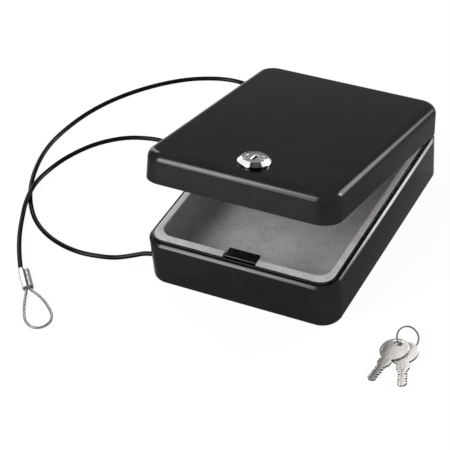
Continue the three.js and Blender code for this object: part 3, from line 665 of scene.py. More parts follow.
def closed_curve(name, loops):
    """A flat curve of closed outlines."""
    data = bpy.data.curves.new(name, "CURVE")
    data.dimensions = "2D"
    for points in loops:
        spline = data.splines.new("POLY")
        spline.points.add(len(points) - 1)
        for point, (x, y) in zip(spline.points, points):
            point.co = (x * mm, y * mm, 0, 1)
        spline.use_cyclic_u = True
    return put_in_scene(bpy.data.objects.new(name, data))


def as_mesh(curve, section=None):
    """Turns a curve into a closed mesh, and removes the section that it was drawn with."""
    pick(curve)
    bpy.ops.object.convert(target="MESH")
    if section:
        bpy.data.objects.remove(section)
    face_outwards(curve)
    return curve


def flat_outline(name, loops, thickness, edge):
    """A flat solid with rounded edges. An outline inside another is a hole."""
    piece = closed_curve(name, loops)
    piece.data.fill_mode = "BOTH"
    piece.data.extrude = (thickness / 2 - edge) * mm
    piece.data.bevel_depth = edge * mm
    piece.data.bevel_resolution = 3
    piece.data.offset = -edge * mm
    return as_mesh(piece)


def dress(piece, material, body, slot, *stands_for, smooth=32):
    """Finishes a piece, lets it ride on its body and hides the CAD nodes that it stands for.

    What is round is shaded smooth, and edges that turn by more than smooth degrees stay sharp.
    """
    pick(piece)
    settle()
    bpy.ops.object.shade_smooth_by_angle(angle=math.radians(smooth))
    piece.data.materials.clear()
    piece.data.materials.append(material)
    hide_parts(*stands_for)
    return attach(piece, body)


def coat_faces(piece, material, faces):
    """Gives some faces of a dressed piece a material of their own."""
    piece.data.materials.append(material)
    for index in faces:
        piece.data.polygons[index].material_index = 1
    return piece


# Shells


def pan_side(height, corner, draft, inset, steps):
    """A pressed pan's side as (inset, distance from the parting line), out to its flat face."""
    points = []
    for step in range(steps + 1):
        angle = step / steps * math.pi / 2
        reach = corner - inset
        distance = height - corner + reach * math.sin(angle)
        points.append((inset + reach * (1 - math.cos(angle)) + draft * distance, distance))
    return points


def base_side(inset):
    side = pan_side(base_height, foot_round, base_draft, inset, 10)
    return [(drawn, base_height - distance) for drawn, distance in side]


def lid_side(inset):
    side = pan_side(lid_height, lid_round, lid_draft, inset, 16)
    return [(drawn, base_height + distance) for drawn, distance in side]


def rounding(inset, height, radius, rise, steps=6):
    """A quarter round drawn in and up (or down) from (inset, height), steep at first."""
    points = []
    for step in range(1, steps + 1):
        angle = step / steps * math.pi / 2
        drawn = radius * (1 - math.cos(angle))
        points.append((inset + drawn, height + rise * radius * math.sin(angle)))
    return points


def shoulder_side(inset, steps=10):
    """The base's shoulder from its wall up to the flat on top, drawn in by a thickness."""
    start, end = shoulder_start, shoulder_end
    radius = shoulder_inset / (math.cos(start) - math.cos(end))
    reach = radius - inset
    points = []
    for step in range(steps + 1):
        angle = start + (end - start) * step / steps
        drawn = radius * math.cos(start) - reach * math.cos(angle)
        height = base_height - radius * math.sin(end) + reach * math.sin(angle)
        points.append((max(drawn, inset), height))
    return points


def shoulder_above(side, wall):
    """The points of a shoulder that lie further in than its wall."""
    return [point for point in side if point[0] > wall + hair]


def bends(inset, height, turns):
    """Points of joined arcs, each as (radius, the angles where it starts and ends, steps)."""
    points = []
    for radius, start, end, steps in turns:
        a, b = math.radians(start), math.radians(end)
        for step in range(1, steps + 1):
            angle = a + (b - a) * step / steps
            drawn = radius * (math.cos(a) - math.cos(angle))
            points.append((inset + drawn, height + radius * (math.sin(angle) - math.sin(a))))
        inset, height = points[-1]
    return points


def hinge_cutter(inset, low, high):
    half = hinge_length / 2 + seat_gap + pin_head + seat_gap
    return block("hinge_cutter", -half, half, rear_face - inset, rear_face + overrun, low, high)


def rivet_drills(z):
    drills = []
    low, high = leaf_inner - overrun, rear_face + overrun
    for x in rivet_columns:
        drills.append(drill("rivet_drill", rivet_radius + seat_gap, low, high, 24))
        moved(drills[-1], shift(x, 0, z) @ lay_along_y)
    return drills


def make_base_shell():
    """The pan from its waist down to the foot and up over the shoulder, a crease and the lip."""
    shoulder_drop, lip_round = 2.43, 0.15
    shoulder_turns = ((0.3, 0, 36, 3), (9.85, 36, 54, 8), (0.25, 54, 90, 3))
    crease_edge, crease_drop, crease_foot = 0.1, 0.5, 0.55
    waist = base_height - shoulder_drop
    wall = base_draft * (base_height - waist)
    shell = plan_slab("base_pan", wall, waist - slab_thickness, waist)
    draw_end(shell, False, wall, base_side(0))
    lip = [
        *bends(wall, waist, shoulder_turns),
        (shoulder_inset + crease_edge, base_height - crease_drop),
        (lip_inset, base_height - crease_foot),
        (lip_inset, lip_top - lip_round),
        *rounding(lip_inset, lip_top - lip_round, lip_round, 1, 3),
    ]
    draw_end(shell, True, wall, lip)
    lip_inner = lip_inset + sheet
    inside = shoulder_side(sheet)
    bend = inside[0][1]
    wall = sheet + base_draft * (base_height - bend)
    hollow = plan_slab("base_hollow", wall, bend - slab_thickness, bend)
    draw_end(hollow, False, wall, base_side(sheet))
    up = shoulder_above(inside, wall)
    up += [(lip_inner, base_height - sheet), (lip_inner, lip_top + overrun)]
    draw_end(hollow, True, wall, up)
    low, high = cable_wall_x - overrun, cable_wall_x + 2 * overrun
    hole = drill("cable_drill", bush_barrel + seat_gap, low, high)
    moved(hole, on_cable)
    notch_foot = base_height - knuckle_radius - seat_gap
    notch = hinge_cutter(lip_inner + seat_gap, notch_foot, lip_top + overrun)
    cut(shell, hollow, notch, hole, *rivet_drills(hinge_z - rivet_rise))
    return dress(shell, powder_coat_black, "base", "black_paint", "base_shell", smooth=30)


def make_lid_shell():
    """The pan from its rounded lower edge up to its flat top, hollowed from below."""
    edge = base_height + parting_gap
    edge_round, edge_share, slab = 0.4, 0.3, 0.3
    foot = edge + edge_round
    wall = lid_draft * (parting_gap + edge_round)
    shell = plan_slab("lid_pan", wall, foot, foot + slab)
    draw_end(shell, False, wall, rounding(wall, foot, edge_round, -1, 4))
    draw_end(shell, True, wall, lid_side(0))
    hollow = plan_slab("lid_hollow", sheet - edge_round, edge - overrun, edge)
    edge_step = edge_round * edge_share
    sides = [(sheet - edge_step, edge + edge_step), (sheet, foot), *lid_side(sheet)]
    draw_end(hollow, True, sheet - edge_round, sides)
    low, high = lid_top - 2 * overrun, lid_top + overrun
    lock_hole = drill("lock_drill", barrel_radius + seat_gap, low, high, 48)
    moved(lock_hole, on_lock)
    notch = hinge_cutter(sheet + overrun, base_height, edge + knuckle_radius + seat_gap)
    cut(shell, hollow, notch, lock_hole, *rivet_drills(hinge_z + rivet_rise))
    moved(shell, lid_turn)
    return dress(shell, powder_coat_black, "lid", "black_paint", "lid_shell", smooth=30)


# Foam linings


def make_base_liner():
    """A foam tray that fills the pan, with rooms for the catch, the hinge and the cable's end."""
    outside = shoulder_side(liner_inset)
    bend = outside[0][1]
    waist = liner_inset + base_draft * (base_height - bend)
    liner = plan_slab("base_foam", waist, bend - slab_thickness, bend)
    draw_end(liner, False, waist, base_side(liner_inset))
    edge = liner_edge / 2
    top = shoulder_above(outside, waist)
    top += [(liner_top_inset, base_height - sheet - seat_gap), (liner_top_inset, lip_top - edge)]
    draw_end(liner, True, waist, top + rounding(liner_top_inset, lip_top - edge, edge, 1))
    side = liner_top_inset + liner_side_wall
    end = liner_top_inset + liner_end_wall
    mouth = (end - liner_edge, liner_corner + liner_edge)
    tray = plan_slab("tray", side - liner_edge, lip_top, lip_top + overrun, *mouth)
    walls = []
    for step in range(1, 7):
        angle = step / 6 * math.pi / 2
        drawn = liner_edge * math.sin(angle)
        walls.append((side - liner_edge + drawn, lip_top - liner_edge * (1 - math.cos(angle))))
    walls.append((side, liner_floor_top + liner_fillet))
    walls += rounding(side, liner_floor_top + liner_fillet, liner_fillet, -1, 8)
    draw_end(tray, False, side - liner_edge, walls)
    pocket = block(
        "pocket",
        catch_x - catch_width / 2 - catch_pocket_margin,
        catch_x + catch_width / 2 + catch_pocket_margin,
        front_face,
        front_face + liner_top_inset + liner_end_wall + overrun,
        lip_top - catch_depth - seat_gap,
        lip_top + overrun,
    )
    hinge_inset = rear_face - leaf_inner + seat_gap * 2 + rivet_tail_height
    leaf_room = hinge_cutter(hinge_inset, hinge_z - leaf_height - seat_gap, lip_top + overrun)
    rooms = []
    flange_radius, flange_depth = bush_flange_radius + seat_gap, 3.1
    stop_radius, stop_depth = 4.2, 14
    flange_room = ("flange_room", flange_radius, flange_depth)
    for name, radius, depth in (flange_room, ("stop_room", stop_radius, stop_depth)):
        room = drill(name, radius, cable_wall_x, cable_wall_x + depth)
        rooms.append(moved(room, on_cable))
    cut(liner, tray, pocket, leaf_room, *rooms)
    dress(liner, foam_grey, "base", "grey_foam", "base_liner", smooth=35)
    return liner


def make_lid_liner():
    pad = plan_slab("lid_foam", pad_inset, pad_bottom + liner_edge, pad_top)
    draw_end(pad, False, pad_inset, rounding(pad_inset, pad_bottom + liner_edge, liner_edge, -1))
    hole = drill("pad_drill", pad_hole, pad_bottom - overrun, pad_top + overrun, 64)
    cut(pad, moved(hole, on_lock))
    moved(pad, lid_turn)
    dress(pad, foam_grey, "lid", "grey_foam", "lid_liner", smooth=35)
    return pad


# Catch


def make_catch():
    """A bent plate: its shelf over the tray, its neck, a slant back to the wall and a lower leg."""
    neck = front_face + catch_set_back
    foot = front_face + sheet + seat_gap + base_draft * (base_height + catch_depth)
    knee = lip_top - catch_neck
    knee_end = knee - (neck - foot)
    shelf_end = neck + catch_reach
    under = lip_top - catch_sheet
    turn = catch_inner_bend
    outline = [
        (shelf_end, lip_top),
        *arc(neck + catch_bend, lip_top - catch_bend, catch_bend, 90, 180),
        (neck, knee),
        (foot, knee_end),
        (foot, lip_top - catch_depth),
        (foot + catch_sheet, lip_top - catch_depth),
        (foot + catch_sheet, knee_end),
        (neck + catch_sheet, knee),
        (neck + catch_sheet, under - turn),
        *arc(neck + catch_sheet + turn, under - turn, turn, 180, 90, 4),
        (shelf_end, under),
    ]
    bracket = flat_outline("catch", [outline], catch_width, catch_edge)
    stand = Matrix(((0, 0, 1, 0), (1, 0, 0, 0), (0, 1, 0, 0), (0, 0, 0, 1)))
    moved(bracket, shift(catch_x, 0, 0) @ stand)
    return dress(bracket, catch_black, "base", "black_bracket", "catch_bracket")


# Lock, on its own axis while it is made

barrel_across_flats, barrel_below_lid, thread_pitch, thread_depth = 14.4, 22, 1, 0.4
bezel_radius, bezel_face_radius, bezel_height, bezel_rim = 13.3, 10, 4.6, 0.8
head_radius, head_recess, head_thickness = 8.9, 0.3, 2
plug_radius, plug_head_radius, plug_head_thickness = 5.5, 6.2, 2.4
plug_recess, plug_clearance = 0.3, 0.25
keyway_length, keyway_width, keyway_depth = 8.6, 2.5, 20
tail_across, cam_thickness, screw_radius, screw_length = 6.4, 2, 1.9, 7
bezel_foot = lid_top + seat_gap
bezel_top = bezel_foot + bezel_height
head_top = bezel_top - head_recess
plug_top = head_top - plug_recess
barrel_end = lid_top - barrel_below_lid


def make_bezel():
    """A cone with a short skirt, a rounded rim and a seat for the lock's head."""
    seat = head_top - head_thickness - seat_gap
    bore, well = barrel_radius + seat_gap, bezel_face_radius - bezel_rim
    foot_edge, well_edge, face_band = 0.2, 0.08, 0.42
    profile = [
        (bore, bezel_foot),
        (bezel_radius - foot_edge, bezel_foot),
        (bezel_radius, bezel_foot + foot_edge),
        (bezel_radius, bezel_foot + 1.45),
        (bezel_radius - 0.08, bezel_foot + 1.62),
        (bezel_radius - 0.25, bezel_foot + 1.78),
        (bezel_face_radius + 0.45, bezel_top - 0.4),
        (bezel_face_radius + 0.3, bezel_top - 0.2),
        (bezel_face_radius, bezel_top),
        (well + well_edge, bezel_top),
        (well, bezel_top - well_edge),
        (well, seat),
        (bore, seat),
    ]
    bezel = turned("lock_cone", profile, 96, bored=True)
    inside = (bezel_face_radius + face_band) * mm
    inner = faces_where(bezel, lambda face: face.center.xy.length < inside)
    moved(bezel, lid_turn @ on_lock)
    dress(bezel, chrome_plate, "lid", "chrome", "lock_bezel", smooth=28)
    return coat_faces(bezel, turned_plate, inner)


def make_lock_body():
    """The threaded barrel with two flats, and its head with a ring-shaped groove."""
    under = head_top - head_thickness
    end_edge, head_edge, face_edge, groove = 0.3, 0.1, 0.2, 0.12
    thread_below_lid = 3
    bore, well = plug_radius + plug_clearance, plug_head_radius + plug_clearance
    well_floor = plug_top - plug_head_thickness - plug_clearance
    profile = [(bore, barrel_end), (barrel_radius - end_edge, barrel_end)]
    profile.append((barrel_radius, barrel_end + end_edge))
    z = barrel_end + thread_pitch
    while z < lid_top - thread_below_lid:
        profile += [(barrel_radius, z), (barrel_radius - thread_depth, z + thread_pitch / 2)]
        z += thread_pitch
    profile += [
        (barrel_radius, z),
        (barrel_radius, under),
        (head_radius - head_edge, under),
        (head_radius, under + 0.15),
        (head_radius, head_top - head_edge),
        (head_radius - head_edge, head_top),
        (7.9, head_top),
        (7.75, head_top - groove),
        (7.5, head_top - groove),
        (7.35, head_top),
        (well + face_edge, head_top),
        (well, head_top - face_edge),
        (well, well_floor),
        (bore, well_floor),
    ]
    body = turned("lock_barrel", profile, 72, bored=True)
    flat_x, reach = barrel_across_flats / 2, 12
    for side in (-1, 1):
        x = (side * flat_x, side * reach)
        cut(body, block("flat", *x, -reach, reach, barrel_end - 1, under - hair))
    moved(body, lid_turn @ on_lock)
    return dress(body, turned_plate, "lid", "chrome", "lock_body", smooth=28)


def make_plug():
    """The plug with its head, its keyway with a funnel mouth, and the tail that carries the cam."""
    edge, mouth_depth = 0.3, 0.76
    shoulder = plug_top - plug_head_thickness
    profile = [
        (plug_radius - edge, barrel_end),
        (plug_radius, barrel_end + edge),
        (plug_radius, shoulder),
        (plug_head_radius, shoulder),
        (plug_head_radius, plug_top - edge),
        (plug_head_radius - edge, plug_top),
        (5, plug_top),
        (4.7, plug_top - 0.15),
    ]
    plug = turned("lock_plug_face", profile, 72)
    half_x, half_y = keyway_width / 2, keyway_length / 2
    bottom, top = plug_top - keyway_depth, plug_top + overrun
    keyway = block("keyway", -half_x, half_x, -half_y, half_y, bottom, top)
    wide_x, wide_y, narrow_x, narrow_y = 1.95, 4.45, 1.2, 4.2
    floor, top = plug_top - mouth_depth, plug_top + hair
    mouth = block("keyway_mouth", -wide_x, wide_x, -wide_y, wide_y, floor, top)
    in_edit(mouth, faces_where(mouth, lambda face: face.normal.z < -0.9))
    narrowed = (narrow_x / wide_x, narrow_y / wide_y, 1)
    bpy.ops.transform.resize(value=narrowed, center_override=(0, 0, floor * mm))
    leave_edit()
    cut(plug, keyway, mouth)
    tail_end = barrel_end - seat_gap - cam_thickness - seat_gap / 2
    half = tail_across / 2
    tail = block("tail", -half, half, -half, half, tail_end, barrel_end + 0.5, 0.3)
    tapped_top = tail_end + screw_length + seat_gap
    cut(tail, drill("tapped", screw_radius + seat_gap, tail_end - overrun, tapped_top, 24))
    fuse(plug, tail)
    within = 5.2 * mm
    worn_edge = faces_where(
        plug, lambda face: 0.2 < face.normal.z < 0.9 and face.center.xy.length < within
    )
    moved(plug, lid_turn @ on_lock)
    dress(plug, turned_plate, "lock_turn", "nickel_plate", "lock_plug", smooth=28)
    return coat_faces(plug, plug_edge, worn_edge)


# Hinge rivets


def make_rivets():
    """A domed rivet is modelled for each leaf, and its three rivets are copies of it."""
    dome_rim, dome_height, dome_steps, tail_edge = 0.12, 1.15, 8, 0.2
    lid_inset = lid_draft * (rivet_rise - 3)
    base_leaf, lid_leaf = (-rivet_rise, 0, Matrix.Identity(4)), (rivet_rise, lid_inset, lid_turn)
    for body, (rise, inset, turn) in (("base", base_leaf), ("lid", lid_leaf)):
        seat = rear_face - inset + seat_gap
        tail = leaf_inner - seat_gap
        tail_end = tail - rivet_tail_height
        profile = [(rivet_tail_radius - 0.3, tail_end), (rivet_tail_radius, tail_end + tail_edge)]
        profile += [(rivet_tail_radius, tail), (rivet_radius, tail), (rivet_radius, seat)]
        profile += [(rivet_head_radius - 0.1, seat), (rivet_head_radius, seat + dome_rim)]
        for step in range(1, dome_steps):
            angle = step / dome_steps * math.pi / 2
            height = seat + dome_rim + dome_height * math.sin(angle)
            profile.append((rivet_head_radius * math.cos(angle), height))
        master = moved(turned("rivet", profile, 32), lay_along_y)
        for number, x in enumerate(rivet_columns, 1):
            rivet = own_copy(master, f"{body}_rivet_{number}")
            moved(rivet, turn @ shift(x, 0, hinge_z + rise))
            node = f"hinge_rivet_{body}_{number}"
            dress(rivet, powder_coat_black, body, "black_paint", node, smooth=40)
        bpy.data.objects.remove(master)


# Cable, bush, crimp sleeve and wire loop


def line_piece(name, line, bevel=None, radius=0.0, twist=0.0, z_up=False):
    """A round or shaped rod along a line. Twist is how far it turns in one millimetre."""
    data = bpy.data.curves.new(name, "CURVE")
    data.dimensions = "3D"
    spline = data.splines.new("POLY")
    spline.points.add(len(line) - 1)
    gone = 0.0
    for i, (point, place) in enumerate(zip(spline.points, line)):
        if i:
            gone += (place - line[i - 1]).length
        point.co = (*(place * mm), 1)
        point.tilt = gone * twist
    if z_up:
        data.twist_mode = "Z_UP"
    if bevel:
        data.bevel_mode = "OBJECT"
        data.bevel_object = bevel
    else:
        data.bevel_depth = radius * mm
        data.bevel_resolution = 6
    data.use_fill_caps = True
    return put_in_scene(bpy.data.objects.new(name, data))


def make_bush():
    """A flanged bush through the wall, outer flange first, with its rim rounded."""
    bore, wall_in = cable_radius + seat_gap, cable_wall_x + sheet + seat_gap
    edge, rim = 0.3, bush_flange_radius
    profile = [
        (bore, bush_outer + edge),
        (2.7, bush_outer),
        (4.3, bush_outer),
        (rim - 0.2, bush_outer + 0.25),
        (rim, bush_outer + 0.7),
        (rim, cable_wall_x - seat_gap),
        (bush_barrel, cable_wall_x - seat_gap),
        (bush_barrel, wall_in),
        (rim, wall_in),
        (rim, wall_in + bush_flange - edge),
        (rim - edge, wall_in + bush_flange),
        (bore, wall_in + bush_flange),
    ]
    bush = moved(turned("bush", profile, 48, bored=True), on_cable)
    return dress(bush, bush_nylon, "base", "black_plastic", "cable_bush", smooth=40)


def make_sleeve():
    """Two barrels pressed side by side, with a crease between them and marks of the jaws."""
    radius = sleeve_thickness / 2
    end_edge, mark_depth, jaw_marks = 0.5, 0.06, (4.6, 10.8, 17)
    profile = [(radius - end_edge, 0), (radius - 0.15, 0.12), (radius, end_edge)]
    for start in jaw_marks:
        pressed = radius - mark_depth
        profile += [(radius, start), (pressed, start + 0.8), (pressed, start + 3)]
        profile.append((radius, start + 3.8))
    profile += [(radius, sleeve_length - 1.4), (radius, sleeve_length - end_edge)]
    profile += [(radius - 0.15, sleeve_length - 0.12), (radius - end_edge, sleeve_length)]
    short = [(radius - 1.2, 1.6), (radius - 0.6, 1.75), (radius - 0.2, 2.15), (radius, 2.8)]
    short += profile[3:]
    barrels = []
    for side, outline, ends in ((1, profile, (0, sleeve_length)), (-1, short, (sleeve_length,))):
        barrel = turned("sleeve", outline, 48)
        for height in ends:
            bore = 1.4 if height else 2.05
            mouth = [(bore, -0.7), (bore, 0.4), (bore + 0.3, 0.7)]
            if not height:
                mouth = [(r, -z) for r, z in reversed(mouth)]
            cut(barrel, moved(turned("mouth", mouth, 32), shift(0, 0, height)))
        barrels.append(moved(barrel, shift(side * barrel_offset, 0, 0)))
    sleeve, other = barrels
    fuse(sleeve, other)
    first, last = 0.4 * mm, (sleeve_length - 0.7) * mm
    sawn = faces_where(sleeve, lambda face: not first < face.center.z < last)
    lay = Matrix((sleeve_side, sleeve_ahead.cross(sleeve_side), sleeve_ahead))
    moved(sleeve, Matrix.Translation(sleeve_start * mm) @ lay.transposed().to_4x4())
    dress(sleeve, sleeve_aluminium, "base", "aluminium", "crimp_sleeve", smooth=40)
    return coat_faces(sleeve, sawn_aluminium, sawn)


# Wire rope: how thick its strands and how deep its grooves are, as shares of its radius, in how many
# millimetres a strand goes once round, and how many degrees a lobe reaches to each side.
strand_count, strand_share, groove_share, lay_length, lobe_reach = 6, 0.36, 0.26, 16, 78


def mark_grooves(loop, line):
    """Gives each point how deep it lies between strands, from 0 on a crown to 1 in a groove."""
    middle = kdtree.KDTree(len(line))
    for i, place in enumerate(line):
        middle.insert(place * mm, i)
    middle.balance()
    groove = loop.data.attributes.new("groove", "FLOAT", "POINT")
    for i, vertex in enumerate(loop.data.vertices):
        nearest, index, _ = middle.find(vertex.co)
        along = (line[min(index + 1, len(line) - 1)] - line[max(index - 1, 0)]).normalized()
        out = vertex.co - nearest
        reach = (out - along * out.dot(along)).length / mm
        depth = (wire_radius - reach) / (wire_radius * groove_share)
        groove.data[i].value = min(max(depth, 0), 1)


def make_wire_loop():
    """A bare wire rope: its strands, laid round a core, are lobes of one twisted section."""
    start = sleeve_length + seat_gap
    straight = start + wire_radius * 2
    ends = [sleeve_point(start, barrel_offset), sleeve_point(straight, barrel_offset)]
    back = [sleeve_point(straight, -barrel_offset), sleeve_point(start, -barrel_offset)]
    line = smooth_route([*ends, *wire_route, *back], 24)
    strand = wire_radius * strand_share
    lobes = []
    for i in range(strand_count):
        angle = i * 360 / strand_count
        centre_x = (wire_radius - strand) * math.cos(math.radians(angle))
        centre_y = (wire_radius - strand) * math.sin(math.radians(angle))
        lobes += arc(centre_x, centre_y, strand, angle - lobe_reach, angle + lobe_reach, 6)
    section = closed_curve("rope_section", [lobes])
    loop = line_piece("wire_rope", line, section, twist=2 * math.pi / lay_length)
    as_mesh(loop, section)
    mark_grooves(loop, line)
    return dress(loop, rope_steel, "base", "wire_rope", "wire_loop", smooth=60)


def make_cable():
    start = Vector((bush_outer - seat_gap, cable_y, cable_exit_z))
    ends = [sleeve_point(-cable_radius, barrel_offset), sleeve_point(-seat_gap, barrel_offset)]
    line = smooth_route([start, *cable_route, *ends], 12)
    rope = line_piece("tether", line, radius=cable_radius)
    rope.data.materials.append(cable_vinyl)
    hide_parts("cable")
    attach(rope, "base")
    return rope


# Keys and split ring

key_face = Vector((-0.1555, -0.0531, 0.9864)).normalized()
key_places = (
    ("key_1", "upper_key", Vector((137.4, -111.45, 4.88)), -99.4),
    ("key_2", "lower_key", Vector((141.8, -111.52, 3.06)), -69.8),
)
ring_centre = Vector((141.7, -103.3, 6.68))
ring_face = Vector((0.5098, -0.378, 0.7728)).normalized()
key_thickness, key_edge = 2, 0.18
bow_radius, bow_drop, bow_steps = 11.6, 1.4, 64
key_slot_offset, key_slot_half, key_slot_radius = 4.6, 1.6, 2
neck_half, neck_start = 4.4, 13.4
collar_half, collar_start, collar_end, collar_edge = 5.3, 14.3, 18.2, 0.4
blade_half, blade_start, blade_end, tip_chamfer = 3.7, 20.2, 37, 2.2
first_cut, cut_pitch, cut_floor_half, cut_mouth_half = 22.4, 2.7, 0.43, 1.13
cut_shares = (0.16, 0.3, 0.12, 0.26, 0.18)
groove_half, groove_web = 0.9, 0.55
rib_x, rib_half, rib_web, rib_start, rib_end = 1.75, 0.3, 0.68, -12.7, -19.6

# The bow's pressed dish on one side, as [radius, height] above the key's middle plane.
dish_profile = [(1, 0.995), (3, 0.965), (5, 0.9), (7, 0.8), (8.5, 0.7), (9.4, 0.62)]
dish_profile += [(9.9, 1.2), (9.9, 2)]

# Where the painted reflection on the keys' faces changes: the heading of the change, its middle from
# the key, and its span.
reflection_heading, reflection_shift, reflection_span = math.radians(7), Vector((-2, -4.6, 0)), 23

ring_radius, ring_pitch = 8.8, 0.95
ring_wire_half_x, ring_wire_half_y, ring_wire_corner = 0.55, 0.375, 0.16


def leaning(face, heading, place):
    """Where a flat piece lies that faces one way and is turned to a heading in degrees."""
    upright = Vector((0, 0, 1)).rotation_difference(face).to_matrix().to_4x4()
    turn = Matrix.Rotation(math.radians(heading + 90), 4, "Z")
    return Matrix.Translation(place * mm) @ upright @ turn


def key_outline():
    """The bow's arc, and both sides of the neck, the collar and the blade with its cuts."""
    meet = math.degrees(math.asin(neck_half / bow_radius))
    bow = arc(0, -bow_drop, bow_radius, -90 + meet, 270 - meet, bow_steps)
    side = [(neck_half, -neck_start), (collar_half - collar_edge, -collar_start + collar_edge)]
    side += [(collar_half, -collar_start), (collar_half, -collar_end)]
    side += [(collar_half - collar_edge, -collar_end - collar_edge), (blade_half, -blade_start)]
    for i, share in enumerate(cut_shares):
        middle = -first_cut - i * cut_pitch
        deep = blade_half - share * blade_half * 2
        side += [(blade_half, middle + cut_mouth_half), (deep, middle + cut_floor_half)]
        side += [(deep, middle - cut_floor_half), (blade_half, middle - cut_mouth_half)]
    side += [(blade_half, -blade_end + tip_chamfer), (blade_half - tip_chamfer, -blade_end)]
    left = [(-x, y) for x, y in side]
    return [*bow, *left, *reversed(side)]


def make_key_master():
    """A flat key with its slot, with a groove, a dish and a ribbed collar cut in each side."""
    slot = arc(key_slot_half, key_slot_offset, key_slot_radius, -90, 90, 10)
    slot += arc(-key_slot_half, key_slot_offset, key_slot_radius, 90, 270, 10)
    key = flat_outline("key", [key_outline(), slot[::-1]], key_thickness, key_edge)
    for side in (-1, 1):
        outer = side * key_thickness
        z = sorted((side * groove_web, outer))
        groove_end = -blade_end - overrun
        cut(key, block("groove", -groove_half, groove_half, groove_end, -blade_start, *z))
        dish = turned("dish", [(radius, side * height) for radius, height in dish_profile])
        cut(key, moved(dish, shift(0, -bow_drop, 0)))
        z = sorted((side * rib_web, outer))
        for x in (-rib_x, rib_x):
            cut(key, block("rib_side", x - rib_half, x + rib_half, rib_end, rib_start, *z))
    return moved(key, shift(0, -key_slot_offset, 0))


def make_keys():
    """One key is modelled, and the two keys are copies of it."""
    master = make_key_master()
    sides = faces_where(master, lambda face: abs(face.normal.z) < 0.35)
    # The keys' side faces get a much darker nickel as painted shade.
    painted_side_shade = nickel("nickel_punched", (98, 95, 92), metallic=0.85, roughness=0.38)
    for node, body, place, heading in key_places:
        key = own_copy(master, node + "_blank")
        moved(key, leaning(key_face, heading, place))
        # Each key's face gets a painted reflection, darker on one side and brighter on the other.
        painted_reflection = (reflection_heading, place + reflection_shift, reflection_span)
        finish = nickel("nickel_" + node, turn=-math.radians(heading), painted_reflection=painted_reflection)
        dress(key, finish, body, "nickel_plate", node, smooth=35)
        coat_faces(key, painted_side_shade, sides)
    bpy.data.objects.remove(master)


def make_ring():
    """One flat wire wound twice round, crossing from one turn to the other over a short arc."""
    line = []
    first, last, cross, over, steps = 4, 686, 330, 30, 240
    for i in range(steps + 1):
        degrees = first + (last - first) * i / steps
        t = min(max((degrees - cross) / over, 0), 1)
        height = (t * t * (3 - 2 * t) - 0.5) * ring_pitch
        angle = math.radians(degrees)
        line.append(Vector((ring_radius * math.cos(angle), ring_radius * math.sin(angle), height)))
    corner = ring_wire_corner
    section = []
    for x, y, start in ((1, 1, 0), (-1, 1, 90), (-1, -1, 180), (1, -1, 270)):
        centre = (x * (ring_wire_half_x - corner), y * (ring_wire_half_y - corner))
        section += arc(*centre, corner, start, start + 90, 3)
    shape = closed_curve("ring_section", [section])
    ring = as_mesh(line_piece("ring", line, shape, z_up=True), shape)
    moved(ring, leaning(ring_face, -90, ring_centre))
    return dress(ring, ring_plate, "key_set", "nickel_plate", "key_ring", smooth=35)


# CAD pieces that keep their shape and get a better finish


def paint_nodes():
    """Zinc on the hinge and on the lock's hardware, aluminium on the cable's inner stop."""
    finishes = {"cable_stop": sleeve_aluminium}
    for name in ("hinge_base_leaf", "hinge_lid_leaf", "hinge_pin", "lock_washer", "lock_nut"):
        finishes[name] = zinc_plate
    for name in ("lock_cam", "cam_washer", "cam_screw"):
        finishes[name] = zinc_plate
    for name, material in finishes.items():
        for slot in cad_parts[name].material_slots:
            slot.material = material


# Stage and light


def seen_directly(nodes, links, share, share_in_gloss):
    """How far a surface or the world shows its plain white, to the camera and in gloss and glass."""
    rays = nodes.new("ShaderNodeLightPath")
    total = None
    for kind, part in (
        ("Is Camera Ray", share),
        ("Is Glossy Ray", share_in_gloss),
        ("Is Transmission Ray", share_in_gloss),
    ):
        scaled = nodes.new("ShaderNodeMath")
        scaled.operation = "MULTIPLY"
        links.new(rays.outputs[kind], scaled.inputs[0])
        scaled.inputs[1].default_value = part
        if total:
            more = nodes.new("ShaderNodeMath")
            more.operation = "MAXIMUM"
            links.new(total, more.inputs[0])
            links.new(scaled.outputs[0], more.inputs[1])
            scaled = more
        total = scaled.outputs[0]
    return total


def add_stage():
    """A white floor, which keeps a faint share of the object's shadow."""
    floor = new_piece("floor", bpy.ops.mesh.primitive_plane_add, size=8)
    material = bpy.data.materials.new("floor_white")
    material.use_nodes = True
    nodes, links = material.node_tree.nodes, material.node_tree.links
    lit = nodes["Principled BSDF"]
    lit.inputs["Base Color"].default_value = (0.92, 0.92, 0.92, 1)
    lit.inputs["Roughness"].default_value = 0.9
    lit.inputs["Specular IOR Level"].default_value = 0.1
    shown = nodes.new("ShaderNodeEmission")
    mix = nodes.new("ShaderNodeMixShader")
    links.new(seen_directly(nodes, links, 0.95, 0.3), mix.inputs[0])
    links.new(lit.outputs["BSDF"], mix.inputs[1])
    links.new(shown.outputs["Emission"], mix.inputs[2])
    links.new(mix.outputs["Shader"], nodes["Material Output"].inputs["Surface"])
    floor.data.materials.append(material)


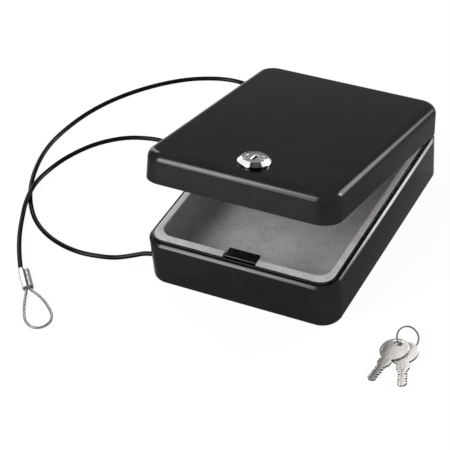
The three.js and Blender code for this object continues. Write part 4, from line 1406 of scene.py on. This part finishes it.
def add_softbox(name, azimuth, elevation, width, height, power, distance=1.6):
    """A rectangular lamp that faces the safe, placed and sized by its directions in degrees."""
    around, up = math.radians(azimuth), math.radians(elevation)
    towards = Vector(
        (math.cos(up) * math.cos(around), math.cos(up) * math.sin(around), math.sin(up))
    )
    data = bpy.data.lights.new(name, "AREA")
    data.shape = "RECTANGLE"
    data.size = 2 * distance * math.tan(math.radians(width / 2))
    data.size_y = 2 * distance * math.tan(math.radians(height / 2))
    data.energy = power
    light = put_in_scene(bpy.data.objects.new(name, data))
    light.location = Vector((0, 0, 0.05)) + towards * distance
    light.rotation_euler = towards.to_track_quat("Z", "Y").to_euler()


def add_world():
    """A white world, dimmer where it lights the safe than where it is seen."""
    lighting, backdrop = 0.32, 1
    world = bpy.data.worlds.new("studio")
    bpy.context.scene.world = world
    world.use_nodes = True
    nodes, links = world.node_tree.nodes, world.node_tree.links
    nodes.clear()
    out = nodes.new("ShaderNodeOutputWorld")
    mix = nodes.new("ShaderNodeMixShader")
    links.new(seen_directly(nodes, links, 1, 1), mix.inputs["Fac"])
    for socket, strength in ((1, lighting), (2, backdrop)):
        white = nodes.new("ShaderNodeBackground")
        white.inputs["Color"].default_value = (1, 1, 1, 1)
        white.inputs["Strength"].default_value = strength
        links.new(white.outputs["Background"], mix.inputs[socket])
    links.new(mix.outputs["Shader"], out.inputs["Surface"])


def make_safe():
    make_base_shell()
    make_base_liner()
    make_catch()
    make_lid_shell()
    make_lid_liner()
    make_bezel()
    make_lock_body()
    make_plug()
    make_rivets()
    make_bush()
    sleeve = make_sleeve()
    loop = make_wire_loop()
    make_cable()
    make_keys()
    make_ring()
    paint_nodes()


make_safe()
add_stage()
add_world()
add_softbox("front_left", -115, 30, 28, 48, 18)
add_softbox("front_left_core", -120, 33, 14, 26, 9, 1.55)
add_softbox("rear_right", 55, 10, 26, 24, 17)
add_softbox("rear_right_core", 47, 18, 8, 16, 10.5, 1.55)
add_softbox("rear_left", 146, 22, 18, 44, 20)

bpy.context.scene.view_settings.view_transform = "Standard"
